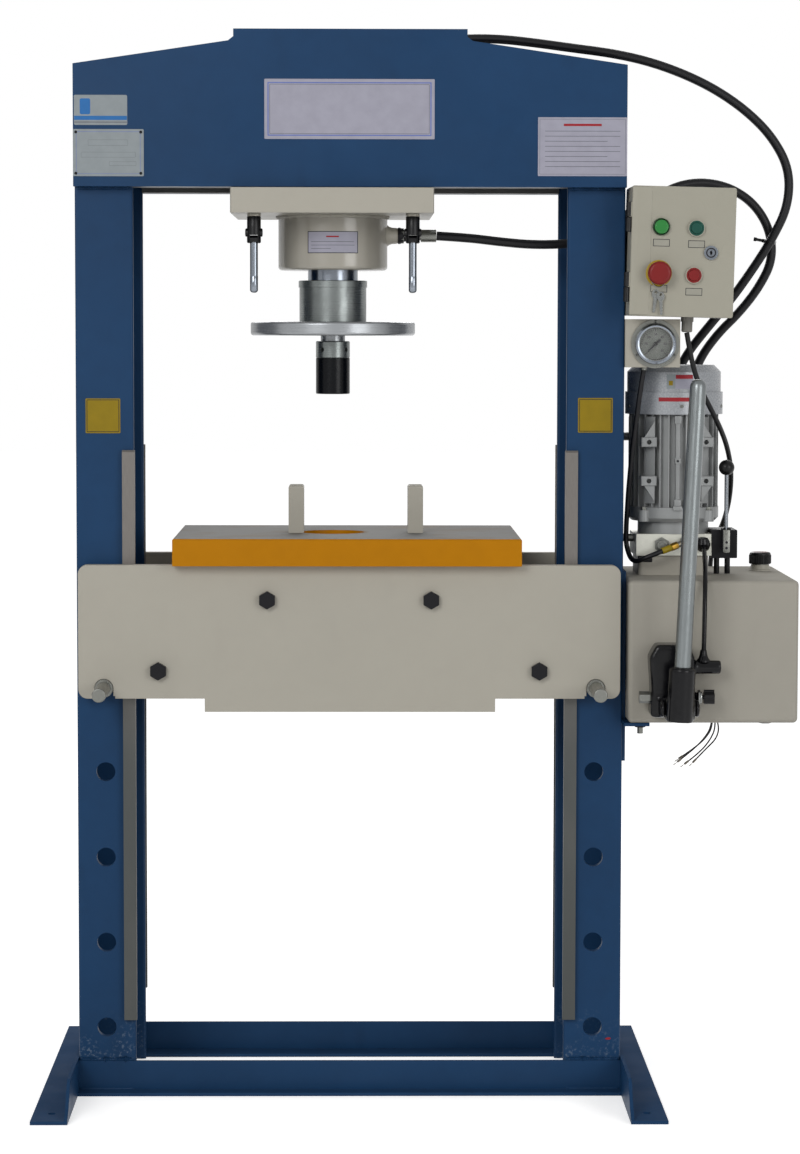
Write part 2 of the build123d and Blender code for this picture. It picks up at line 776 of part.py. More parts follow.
# Lock handles: a stud and a forked hub under the carriage, and a lever that swings in the fork
for x, name in zip(lock_places, ("left_lock", "right_lock")):
    stud_top = crown_low - lock_stud_gap
    hub_top = carriage_low - lock_hub_drop
    hub_low = hub_top - lock_hub_height
    pivot_z = hub_low + lock_hub_radius / 2
    with BuildPart() as lock_hub:
        post((x, lock_y), lock_stud_radius, hub_top, stud_top)
        post((x, lock_y), lock_hub_radius, hub_low, hub_top)
        chamfer(lock_hub.edges().filter_by(GeomType.CIRCLE).group_by(Axis.Z)[0], 1.5)
        rod((x - 15, lock_y, hub_top - 8), (1, 0, 0), 5, 30)
        slot = lock_lever_radius + 0.3
        block((x - slot, x + slot), (lock_y - 20, lock_y + 20), (hub_low - 1, pivot_z + slot + 1), Mode.SUBTRACT)
        rod((x - lock_hub_radius + 0.5, lock_y, pivot_z), (1, 0, 0), lock_pin_radius, 2 * lock_hub_radius - 1)
    save(lock_hub, name + "_hub")
    with BuildPart() as lock_lever:
        post((x, lock_y), lock_lever_radius, pivot_z - lock_lever_length, pivot_z)
        fillet(lock_lever.edges().filter_by(GeomType.CIRCLE).group_by(Axis.Z)[0], 3)
        with Locations((x, lock_y, pivot_z)):
            Sphere(lock_lever_radius)
        rod((x - 10, lock_y, pivot_z), (1, 0, 0), lock_pin_radius + 0.05, 20, Mode.SUBTRACT)
    save(lock_lever, name + "_lever")

# Tank bracket on the right upright: a plate with a shelf under the tank
with BuildPart() as tank_bracket:
    bracket_y = (-bracket_depth / 2, bracket_depth / 2)
    block((outer_x, tank_x), bracket_y, (bracket_low, bracket_high))
    block((tank_x, outer_x + bracket_thick + shelf_reach), bracket_y, (tank_low - shelf_thick, tank_low))
    for y in bracket_bolt_ys:
        post((bracket_bolt_x, y), bracket_bolt_radius + 0.5, tank_low - shelf_thick, tank_low, Mode.SUBTRACT)
save(tank_bracket, "tank_bracket")

# Oil tank: a welded sheet box, with the pump's pedestal on its lid
with BuildPart() as oil_tank:
    block((tank_x, tank_right), (tank_front, tank_back), (tank_low, tank_top))
    fillet(oil_tank.edges(), tank_corner)
    offset(amount=-tank_wall, mode=Mode.SUBTRACT)
    post((filler_x, filler_y), filler_bore, tank_top - tank_wall, tank_top, Mode.SUBTRACT)

with BuildPart() as pump_pedestal:
    pedestal_span = (manifold_left + pedestal_inset, manifold_right - pedestal_inset)
    pedestal_y = (motor_y - pedestal_depth / 2 + 5, motor_y + pedestal_depth / 2 + 5)
    block(pedestal_span, pedestal_y, (tank_top, pedestal_top))
    fillet(pump_pedestal.edges().filter_by(Axis.Z), 8)
save_group([oil_tank, pump_pedestal], "oil_tank")

# Tank fittings: filler neck, drain plug, the hand pump's plug and the bracket's bolts
with BuildPart() as tank_fittings:
    post((filler_x, filler_y), filler_radius, tank_top, tank_top + filler_height)
    post((filler_x, filler_y), filler_bore, tank_top, tank_top + filler_height, Mode.SUBTRACT)
    hexagon((drain_x, drain_y, tank_low), (0, 0, -1), 2 * drain_radius - 3, drain_drop)
    hexagon((pump_left + 2.9, pump_port_y, release_z), (-1, 0, 0), 18, pump_left + 2.9 - pump_plug_end)
    for y in bracket_bolt_ys:
        post((bracket_bolt_x, y), bracket_bolt_radius, tank_low - shelf_thick - 20, tank_low)
        hexagon((bracket_bolt_x, y, tank_low - shelf_thick), (0, 0, -1), 16, 9)
save(tank_fittings, "tank_fittings")

# Filler cap: a turned knob with a plug in the neck
with BuildPart() as filler_cap:
    neck_top = tank_top + filler_height
    post((filler_x, filler_y), cap_radius, neck_top, neck_top + cap_height)
    fillet(filler_cap.edges().filter_by(GeomType.CIRCLE).group_by(Axis.Z)[-1], 4)
    post((filler_x, filler_y), filler_bore - cap_plug_clearance, neck_top - cap_plug_depth, neck_top)
save(filler_cap, "filler_cap")

# Motor: a finned frame with foot lugs, on a ribbed end flange and an adapter
motor_axis = (motor_x, motor_y)
with BuildPart() as motor_body:
    with BuildSketch(Plane.XY.offset(end_flange_top)):
        with Locations(motor_axis):
            Circle(frame_radius)
            with PolarLocations((frame_radius + fin_tip_radius) / 2 - 1, fin_count):
                Rectangle(fin_tip_radius - frame_radius + 2, fin_thick)
    extrude(amount=frame_height)
    for x in lug_places_x:
        for z in lug_heights:
            lug_z = end_flange_top + z
            lug_x = (motor_x + x - lug_width / 2, motor_x + x + lug_width / 2)
            lug_y = (motor_y - fin_tip_radius, motor_y - frame_radius / 2)
            block(lug_x, lug_y, (lug_z - lug_height / 2, lug_z + lug_height / 2))
            rod((motor_x + x, lug_y[0], lug_z), (0, 1, 0), lug_hole_radius, 14, Mode.SUBTRACT)
    bore_top = frame_top - shaft_below_shield
    post(motor_axis, shaft_radius + shaft_clearance, bore_top - 2, frame_top, Mode.SUBTRACT)
with BuildPart() as motor_flange:
    post(motor_axis, end_flange_radius, adapter_top + 8, end_flange_top)
    chamfer(motor_flange.edges().filter_by(GeomType.CIRCLE).group_by(Axis.Z)[0], 6)
    post(motor_axis, adapter_radius, manifold_top, adapter_top + 8)
    for angle in (45, 135, 225, 315):
        ear = (motor_x + 80 * cos(radians(angle)), motor_y + 80 * sin(radians(angle)))
        post(ear, 10, adapter_top + 8, end_flange_top - 5)
with BuildPart() as terminal_box:
    junction_y = motor_y + frame_radius + 2
    block((motor_x - junction_width / 2, motor_x + junction_width / 2),
          (junction_y - 20, junction_y + junction_depth), (frame_top - junction_height - 20, frame_top - 20))
    rod((motor_x - junction_width / 2, junction_y + junction_depth / 2, frame_top - 43), (-1, 0, 0), 7.5,
        junction_gland)
save_group([motor_body, motor_flange, terminal_box], "motor_body")

# Fan cover: a skirt ring, a chamfered cap and a ring of vents in the top
with BuildPart() as fan_cover:
    post(motor_axis, cover_ring_radius, frame_top, ring_top)
    post(motor_axis, cover_radius, ring_top, cover_top)
    chamfer(fan_cover.edges().filter_by(GeomType.CIRCLE).group_by(Axis.Z)[-1], cover_chamfer)
    post(motor_axis, cover_radius - cover_wall, frame_top, cover_top - cover_chamfer, Mode.SUBTRACT)
    post(motor_axis, cover_radius - cover_chamfer - cover_wall, frame_top, cover_top - cover_wall, Mode.SUBTRACT)
    with Locations((motor_x, motor_y, cover_top)):
        with PolarLocations(40, vent_count):
            Box(36, vent_width, 3 * cover_wall, mode=Mode.SUBTRACT)
save(fan_cover, "fan_cover")

# Rotor shaft end with the cooling fan
with BuildPart() as cooling_fan:
    fan_low = frame_top + 8
    post(motor_axis, shaft_radius, frame_top - shaft_below_shield, fan_low + 30)
    post(motor_axis, fan_hub_radius, fan_low, fan_low + 26)
    post(motor_axis, fan_radius, fan_low, fan_low + 3)
    with Locations((motor_x, motor_y, fan_low + 3)):
        with PolarLocations(fan_hub_radius - 2, fan_blades):
            Box(fan_radius - fan_hub_radius, fan_blade_thick, 23,
                align=(Align.MIN, Align.CENTER, Align.MIN))
save(cooling_fan, "cooling_fan")

# Valve manifold and its fittings
with BuildPart() as valve_manifold:
    block((manifold_left, manifold_right), (manifold_front, manifold_back), (pedestal_top, manifold_top))
    chamfer(valve_manifold.edges().filter_by(Axis.Z), 1.5)
save(valve_manifold, "valve_manifold")

with BuildPart() as manifold_fittings:
    hexagon((plug_x, manifold_front, plug_z), (0, -1, 0), port_across, 6)
    rod((plug_x, manifold_front - 6, plug_z), (0, -1, 0), plug_radius, 5)
    hexagon((gauge_port_x, manifold_front, gauge_port_z), (0, -1, 0), gauge_port_across, gauge_port_reach)
    rod((elbow_x, manifold_front, plug_z), (0, -1, 0), elbow_radius, elbow_reach)
    rod((manifold_left, stub_y, stub_z), (-1, 0, 0), stub_radius, stub_reach)
    for x in (pressure_port_x, return_port_x):
        hexagon((x, manifold_back, plug_z), (0, 1, 0), port_across, port_nut)
        half = port_across / 2
        block((x - half, x + half), (manifold_back + port_nut, manifold_back + port_nut + 25),
              (plug_z - half, plug_z + half))
        post((x, manifold_back + port_nut + half + 1), hose_radius + 2.5, plug_z + half, port_top - hose_seat)
    # Swivel and sleeve on the gauge hose's end, which meet their port at an angle
    swivel_start = Vector(*gauge_hose_route[-1])
    swivel_line = Vector(gauge_port_x, manifold_front - gauge_port_reach, gauge_port_z) - swivel_start
    heading = swivel_line.normalized()
    rod(swivel_start + heading * hose_seat, heading, swivel_radius, swivel_line.length + 4)
save(manifold_fittings, "manifold_fittings")

# Valve block with the lever's fork and pin on its front
with BuildPart() as valve_block:
    block((valve_left, valve_right), (valve_front, valve_back), (valve_low, valve_top))
    fillet(valve_block.edges().filter_by(Axis.Y), 2)
    ear_inner = lever_lug_half + lever_lug_gap
    for low, high in ((-ear_inner - ear_thick, -ear_inner), (ear_inner, ear_inner + ear_thick)):
        block((lever_x + low, lever_x + high), (lever_pivot_y - 8, valve_front),
              (lever_pivot_z - 16, lever_pivot_z + 20))
    rod((lever_x - ear_inner - ear_thick, lever_pivot_y, lever_pivot_z), (1, 0, 0), lever_pin_radius,
        2 * (ear_inner + ear_thick))
save(valve_block, "valve_block")

with BuildPart() as valve_lever:
    pivot = (lever_x, lever_pivot_y, lever_pivot_z)
    rod((lever_x - lever_lug_half, lever_pivot_y, lever_pivot_z), (1, 0, 0), 6, 2 * lever_lug_half)
    post(pivot, lever_rod_radius, lever_pivot_z, lever_pivot_z + lever_length)
    rod((lever_x - lever_lug_half, lever_pivot_y, lever_pivot_z), (1, 0, 0),
        lever_pin_radius + lever_pin_clearance, 2 * lever_lug_half, Mode.SUBTRACT)
with BuildPart() as lever_ball:
    with Locations((lever_x, lever_pivot_y, lever_pivot_z + lever_length)):
        Sphere(lever_ball_radius)
    post((lever_x, lever_pivot_y), lever_rod_radius, lever_pivot_z, lever_pivot_z + lever_length, Mode.SUBTRACT)
save_group([valve_lever, lever_ball], "valve_lever")

# Hand pump: a cast body on the front of the tank, slotted for the lever's arm
with BuildPart() as hand_pump:
    with BuildSketch(Plane.XZ.offset(-tank_front)) as outline:
        with BuildLine():
            Polyline(
                (pump_left + 2, pump_low + 4),
                (pump_right, pump_low),
                (pump_right, pump_top - 24),
                (pump_right - 10, pump_top),
                (pump_left + 12, pump_top),
                (pump_left, pump_top - 22),
                (pump_left + 4, pump_low + 50),
                close=True,
            )
        make_face()
        fillet(outline.vertices(), 7)
    extrude(amount=pump_depth)
    fillet(hand_pump.faces().sort_by(Axis.Y)[0].edges(), 6)
    slot_half = pump_arm_thick / 2 + pump_slot_clearance
    block((pump_x - slot_half, pump_x + slot_half), (pump_front - 1, pump_front + 30),
          (pump_low - 1, pump_pivot_z + 45), Mode.SUBTRACT)
    plunger_y = pump_pivot_y + pump_arm
    post((pump_x, plunger_y), plunger_radius + plunger_clearance, pump_pivot_z, plunger_bore_top, Mode.SUBTRACT)
    ear_inner = socket_width / 2 + pump_ear_gap
    for low, high in ((-ear_inner - pump_ear_thick, -ear_inner), (ear_inner, ear_inner + pump_ear_thick)):
        span = (pump_x + low, pump_x + high)
        block(span, (pump_pivot_y, pump_front + 8), (pump_pivot_z - 15, pump_pivot_z + 15))
        rod((span[0], pump_pivot_y, pump_pivot_z), (1, 0, 0), 15, pump_ear_thick)
    rod((pump_x - ear_inner - pump_ear_thick, pump_pivot_y, pump_pivot_z), (1, 0, 0), pump_pin_radius,
        2 * (ear_inner + pump_ear_thick))
    rod((pump_right - 5, pump_port_y, barrel_z), (1, 0, 0), barrel_radius, barrel_end - pump_right + 5)
    rod((pump_right - 5, pump_port_y, release_z), (1, 0, 0), 9, release_boss_end - pump_right + 5)
    rod((pump_right - 8, pump_port_y, release_z), (1, 0, 0), release_stem_radius + release_stem_clearance, 40,
        Mode.SUBTRACT)
save(hand_pump, "hand_pump")

with BuildPart() as pump_plunger:
    plunger_low = pump_pivot_z + pump_arm_thick / 2 + plunger_gap
    post((pump_x, plunger_y), plunger_radius, plunger_low, plunger_low + plunger_length)
save(pump_plunger, "pump_plunger")

# Lever socket: a hub on the pivot pin, an arm to the plunger and a cast tube for the bar
lean = Vector(handle_top_x - pump_x - 2, 0, handle_top_z - socket_top).normalized()
seat = Vector(pump_x + 2, socket_y, socket_top)
with BuildPart() as pump_socket:
    rod((pump_x - socket_width / 2, pump_pivot_y, pump_pivot_z), (1, 0, 0), pump_hub_radius, socket_width)
    rod(seat - lean * 92, lean, socket_radius, 92)
    chamfer(pump_socket.edges().filter_by(GeomType.CIRCLE).group_by(Axis.Z)[-1], 2)
    block((pump_x - pump_arm_thick / 2, pump_x + pump_arm_thick / 2), (pump_pivot_y, plunger_y),
          (pump_pivot_z - pump_arm_thick / 2, pump_pivot_z + pump_arm_thick / 2))
    rod((pump_x - pump_arm_thick / 2, plunger_y, pump_pivot_z), (1, 0, 0), pump_arm_thick / 2, pump_arm_thick)
    rod((pump_x - socket_width / 2, pump_pivot_y, pump_pivot_z), (1, 0, 0), pump_pin_radius + pump_pin_clearance,
        socket_width, Mode.SUBTRACT)
    rod(seat - lean * handle_seat, lean, handle_radius, handle_seat, Mode.SUBTRACT)
save(pump_socket, "pump_socket")

with BuildPart() as pump_handle:
    handle_length = (handle_top_z - socket_top) / lean.Z + handle_seat
    rod(seat - lean * handle_seat, lean, handle_radius, handle_length)
    fillet(pump_handle.edges().filter_by(GeomType.CIRCLE).group_by(Axis.Z)[-1], 9)
save(pump_handle, "pump_handle")

# Release knob: a five-lobed knob on a screw in the pump's boss
with BuildPart() as release_knob:
    rod((pump_right - 7, pump_port_y, release_z), (1, 0, 0), release_stem_radius,
        release_knob_low - pump_right + 7)
    with BuildSketch(Plane(origin=(release_knob_low, pump_port_y, release_z), z_dir=(1, 0, 0))) as lobes:
        Circle(release_knob_radius - 3)
        with PolarLocations(release_knob_radius - 4, 5):
            Circle(4)
    extrude(lobes.sketch, amount=release_knob_high - release_knob_low)
save(release_knob, "release_knob")

# Oil pipes: hand pump to manifold, and two short pipes from the valve into the tank
with BuildPart() as oil_pipes:
    tube(pump_pipe_route, pipe_radius)
    for x in valve_pipe_xs:
        post((x, stub_y), valve_pipe_radius, tank_top, valve_low)
save(oil_pipes, "oil_pipes")

# Control box: a tilted sheet box with a hinged door
tilt = radians(box_tilt)
right = Vector(cos(tilt), 0, -sin(tilt))
up = Vector(sin(tilt), 0, cos(tilt))
face = Plane(origin=box_centre, x_dir=right, z_dir=(0, -1, 0))
body_front = -door_thick - door_gap


def at(place, depth=0.0):
    """A plane on the door at a place across and up, and a depth in front of its face."""
    return Plane(origin=face.from_local_coords((place[0], place[1], depth)), x_dir=right, z_dir=(0, -1, 0))


def knob(place, low, high, radius, mode=Mode.ADD):
    """A round piece square to the door, between two depths."""
    with Locations(at(place, low)):
        Cylinder(radius, high - low, align=(Align.CENTER, Align.CENTER, Align.MIN), mode=mode)


def slab(x, y, z, mode=Mode.ADD):
    """A box in the door's own directions: across, up and forward."""
    with Locations(at((sum(x) / 2, sum(y) / 2), sum(z) / 2)):
        Box(x[1] - x[0], y[1] - y[0], z[1] - z[0], mode=mode)


def barrel(low, high, radius):
    """A hinge knuckle between two heights on the door's edge."""
    edge = (-box_width / 2 - hinge_offset, low, -hinge_depth)
    rod(face.from_local_coords(edge), up, radius, high - low)


with BuildPart() as box_body:
    with BuildSketch(face.offset(body_front)) as outer:
        RectangleRounded(box_width, box_height, door_corner)
    extrude(outer.sketch, amount=-(box_depth + body_front))
    with BuildSketch(face.offset(body_front)) as inner:
        RectangleRounded(box_width - 2 * box_wall, box_height - 2 * box_wall, door_corner - box_wall)
    extrude(inner.sketch, amount=-(box_depth + body_front - box_wall), mode=Mode.SUBTRACT)
    for middle in hinge_centres:
        barrel(middle - hinge_half, middle - hinge_slip / 2, hinge_radius)
        slab((-box_width / 2 - 2, -box_width / 2), (middle - hinge_half, middle - hinge_slip / 2),
             (-hinge_wing - 4, -hinge_depth - 0.5))
save(box_body, "box_body")

controls = [start_place, lamp_place, stop_place, estop_place]
with BuildPart() as box_door:
    with BuildSketch(face) as sheet:
        RectangleRounded(box_width, box_height, door_corner)
    extrude(sheet.sketch, amount=-door_thick)
    lip_x = box_width / 2 - box_wall - 1
    lip_y = box_height / 2 - box_wall - 1
    lip_z = (-door_thick - door_lip, -door_thick)
    for x in ((-lip_x, -lip_x + 1.5), (lip_x - 1.5, lip_x)):
        slab(x, (-lip_y, lip_y), lip_z)
    for y in ((-lip_y, -lip_y + 1.5), (lip_y - 1.5, lip_y)):
        slab((-lip_x, lip_x), y, lip_z)
    for middle in hinge_centres:
        barrel(middle + hinge_slip / 2, middle + hinge_half, hinge_radius)
        slab((-box_width / 2 - hinge_offset, -box_width / 2 + hinge_wing - 4),
             (middle + hinge_slip / 2, middle + hinge_half), (0, hinge_wing_thick))
    for place in controls:
        knob(place, -door_thick, 0, control_hole_radius, Mode.SUBTRACT)
    knob(lock_place, -door_thick, 0, cam_lock_radius + 0.05, Mode.SUBTRACT)

with BuildPart() as button_bezels:
    for place in (start_place, stop_place, estop_place):
        knob(place, -door_thick, 0, control_hole_radius)
        knob(place, 0, bezel_height, bezel_radius)
        knob(place, -button_body, -door_thick, bezel_radius - 1)
        knob(place, -button_body + 2, bezel_height, button_bore, Mode.SUBTRACT)
save_group([box_door, button_bezels], "box_door")

with BuildPart() as pilot_lamp:
    knob(lamp_place, -button_body, -door_thick, bezel_radius - 1)
    knob(lamp_place, -door_thick, 0, control_hole_radius)
    knob(lamp_place, 0, bezel_height, bezel_radius)
    knob(lamp_place, bezel_height, lamp_height, lamp_radius)
    fillet(pilot_lamp.edges().filter_by(GeomType.CIRCLE).group_by(Axis.Y)[0], 2.5)
save(pilot_lamp, "pilot_lamp")

for place, name in ((start_place, "start_button"), (stop_place, "stop_button")):
    with BuildPart() as button:
        knob(place, -button_body + 8, bezel_height + button_height, button_radius)
        fillet(button.edges().filter_by(GeomType.CIRCLE).group_by(Axis.Y)[0], 1)
    save(button, name)

with BuildPart() as estop_button:
    knob(estop_place, -button_body + 8, bezel_height + estop_gap, estop_neck_radius)
    knob(estop_place, bezel_height + estop_gap, bezel_height + estop_gap + estop_height, estop_radius)
    fillet(estop_button.edges().filter_by(GeomType.CIRCLE).group_by(Axis.Y)[0], 6)
save(estop_button, "estop_button")

with BuildPart() as cam_lock:
    knob(lock_place, -24, 0, cam_lock_radius)
    knob(lock_place, 0, 4, cam_lock_flange)
    slab((lock_place[0] - 2, lock_place[0] + 2), (lock_place[1] - 6, lock_place[1] + 6), (2, 5), Mode.SUBTRACT)
    slab((lock_place[0] - 7, lock_place[0] + cam_length), (lock_place[1] - 7, lock_place[1] + 7), (-27, -24))
save(cam_lock, "cam_lock")

# Keys on a ring that hangs round the stop button's neck
ring_up = estop_place[1] + estop_neck_radius + key_ring_wire - key_ring_radius + 0.3
ring_low = ring_up - key_ring_radius
with BuildPart() as keys:
    with Locations(at((estop_place[0], ring_up), bezel_height + 4)):
        Torus(key_ring_radius, key_ring_wire)
    for lean_x, depth in ((-5, 2.2), (5, 5.8)):
        key_x = estop_place[0] + lean_x
        knob((key_x, ring_low - 9), bezel_height + depth - 1, bezel_height + depth + 1, 11)
        slab((key_x - 3.5, key_x + 3.5), (ring_low - 48, ring_low - 18),
             (bezel_height + depth - 1, bezel_height + depth + 1))
        knob((key_x, ring_low - 2), bezel_height + depth - 1, bezel_height + depth + 1, 2.5, Mode.SUBTRACT)
save(keys, "keys")

with BuildPart() as cable_gland:
    gland_top = face.from_local_coords((gland_place, -box_height / 2, gland_depth))
    rod(gland_top, -up, gland_radius, 8)
    rod(gland_top - up * 8, -up, gland_radius - 1.5, gland_height - 8)
    fillet(cable_gland.edges().filter_by(GeomType.CIRCLE).group_by(Axis.Z)[0], 3)
    rod(gland_top, -up, mains_radius, gland_height, Mode.SUBTRACT)
save(cable_gland, "cable_gland")

# Brackets on the right upright that carry the control box and the gauge
with BuildPart() as side_brackets:
    block((outer_x, gauge_plate_right), (gauge_face_y, gauge_plate_y), (gauge_plate_low, gauge_plate_high))
    block((outer_x, outer_x + gauge_plate_thick), (gauge_plate_y, gauge_plate_y + gauge_return),
          (gauge_plate_low, gauge_plate_high))
    rod((gauge_x, gauge_face_y, gauge_z), (0, 1, 0), gauge_case_radius + gauge_hole_clearance,
        gauge_plate_thick, Mode.SUBTRACT)
    box_back = box_centre[1] + box_depth
    block((outer_x, outer_x + 4), (box_back, box_back + 45), (box_centre[2] - 75, box_centre[2] + 75))
    block((outer_x + 4, box_centre[0] + 60), (box_back, box_back + 4), (box_centre[2] - 75, box_centre[2] + 75))
save(side_brackets, "side_brackets")

# Pressure gauge: a flanged case with dial, needle and glass
with BuildPart() as gauge_case:
    centre = (gauge_x, gauge_face_y, gauge_z)
    rod(centre, (0, -1, 0), gauge_flange_radius, gauge_flange_thick)
    rod(centre, (0, -1, 0), gauge_bezel_radius, gauge_flange_thick + gauge_bezel_height)
    chamfer(gauge_case.edges().filter_by(GeomType.CIRCLE).group_by(Axis.Y)[0], 2)
    rod(centre, (0, 1, 0), gauge_case_radius, gauge_case_depth)
    rod((gauge_x, gauge_face_y - gauge_flange_thick, gauge_z), (0, -1, 0), gauge_window, gauge_bezel_height,
        Mode.SUBTRACT)
    post((gauge_x - 17, gauge_plate_y + 30), 6, gauge_plate_low - 5, gauge_z - 20)
dial_y = gauge_face_y - gauge_flange_thick
needle_y = dial_y - dial_thick - 1.5
with BuildPart() as gauge_dial:
    rod((gauge_x, dial_y, gauge_z), (0, -1, 0), gauge_window, dial_thick)
    rod((gauge_x, dial_y, gauge_z), (0, -1, 0), needle_axis_radius, dial_thick + 4)
save_group([gauge_case, gauge_dial], "gauge_case")

with BuildPart() as gauge_needle:
    needle_plane = Plane(origin=(gauge_x, needle_y, gauge_z), x_dir=(-1, 0, -1), z_dir=(0, -1, 0))
    with BuildSketch(needle_plane) as pointer:
        with BuildLine():
            Polyline((-needle_tail, 1), (-needle_tail, -1), (0, -1.8), (needle_length, -0.3),
                     (needle_length, 0.3), (0, 1.8), close=True)
        make_face()
        Circle(3.5)
        Circle(needle_axis_radius + needle_clearance, mode=Mode.SUBTRACT)
    extrude(amount=needle_thick)
save(gauge_needle, "gauge_needle")

with BuildPart() as gauge_glass:
    rod((gauge_x, gauge_front_y + 1 + glass_thick, gauge_z), (0, -1, 0), gauge_window, glass_thick)
save(gauge_glass, "gauge_glass")

# Hoses, the cable and its cores
with BuildPart() as pressure_hose:
    tube(pressure_hose_route, hose_radius)
save(pressure_hose, "pressure_hose")

with BuildPart() as return_hose:
    tube(return_hose_route, hose_radius)
save(return_hose, "return_hose")

with BuildPart() as gauge_hose:
    tube(gauge_hose_route, gauge_hose_radius)
save(gauge_hose, "gauge_hose")

with BuildPart() as mains_cable:
    tube(mains_cable_route, mains_radius)
save(mains_cable, "mains_cable")

with BuildPart() as supply_cores:
    for core_route in core_routes:
        tube(core_route, core_radius)
        end = Vector(*core_route[-1])
        heading = (end - Vector(*core_route[-2])).normalized()
        rod(end, heading, terminal_sleeve_radius, terminal_sleeve)
        with Locations(Plane(origin=end + heading * terminal_sleeve, x_dir=(0, 1, 0), z_dir=heading)):
            Box(terminal_width, 1, terminal_fork, align=(Align.CENTER, Align.CENTER, Align.MIN))
save(supply_cores, "supply_cores")
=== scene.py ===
import math

import bmesh
import bpy
from mathutils import Matrix, Vector, noise


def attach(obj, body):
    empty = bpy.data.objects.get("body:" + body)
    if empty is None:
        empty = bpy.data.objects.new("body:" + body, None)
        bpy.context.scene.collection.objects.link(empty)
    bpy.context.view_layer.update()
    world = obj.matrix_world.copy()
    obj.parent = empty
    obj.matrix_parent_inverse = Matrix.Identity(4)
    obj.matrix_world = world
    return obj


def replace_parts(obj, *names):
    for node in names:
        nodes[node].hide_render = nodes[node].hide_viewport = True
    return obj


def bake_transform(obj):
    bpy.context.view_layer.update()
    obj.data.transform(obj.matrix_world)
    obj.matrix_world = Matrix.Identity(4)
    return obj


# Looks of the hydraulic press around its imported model. Shape helpers take millimetres in the part's frame.

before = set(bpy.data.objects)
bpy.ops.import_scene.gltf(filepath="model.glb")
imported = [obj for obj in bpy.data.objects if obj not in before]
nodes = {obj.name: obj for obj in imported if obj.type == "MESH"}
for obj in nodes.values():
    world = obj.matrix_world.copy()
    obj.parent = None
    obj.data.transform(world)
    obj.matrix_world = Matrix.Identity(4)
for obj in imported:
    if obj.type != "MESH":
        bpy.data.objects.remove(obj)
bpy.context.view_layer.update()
scene = bpy.context.scene

MM = 0.001
FRONT = (0, -1, 0)
UP = (0, 0, 1)
RIGHT = (1, 0, 0)

# Places and sizes that the pieces share with the part
crown_front = -168.0
crown_low = 1577.0
post_front = -140.0
inner_x = 374.0
outer_x = 474.0
ram = (-31.0, 0.0)
cylinder_radius = 96.0
motor = (572.0, -10.0)
manifold_front = -70.0
gauge = (526.0, 1309.5)
dial_front = -155.5
lever_x = 660.0
box_centre = Vector((567.0, -205.0, 1466.5))
box_tilt = math.radians(1.4)


# Colours and shaders

def rgb(red, green, blue):
    """A colour as it looks, 0 to 255, as the linear values that a shader takes."""
    values = []
    for value in (red, green, blue):
        value /= 255
        values.append(value / 12.92 if value <= 0.04045 else ((value + 0.055) / 1.055) ** 2.4)
    return (*values, 1.0)


def scaled(colour, factor):
    """The same colour, lighter or darker."""
    return (*[min(1.0, value * factor) for value in colour[:3]], 1.0)


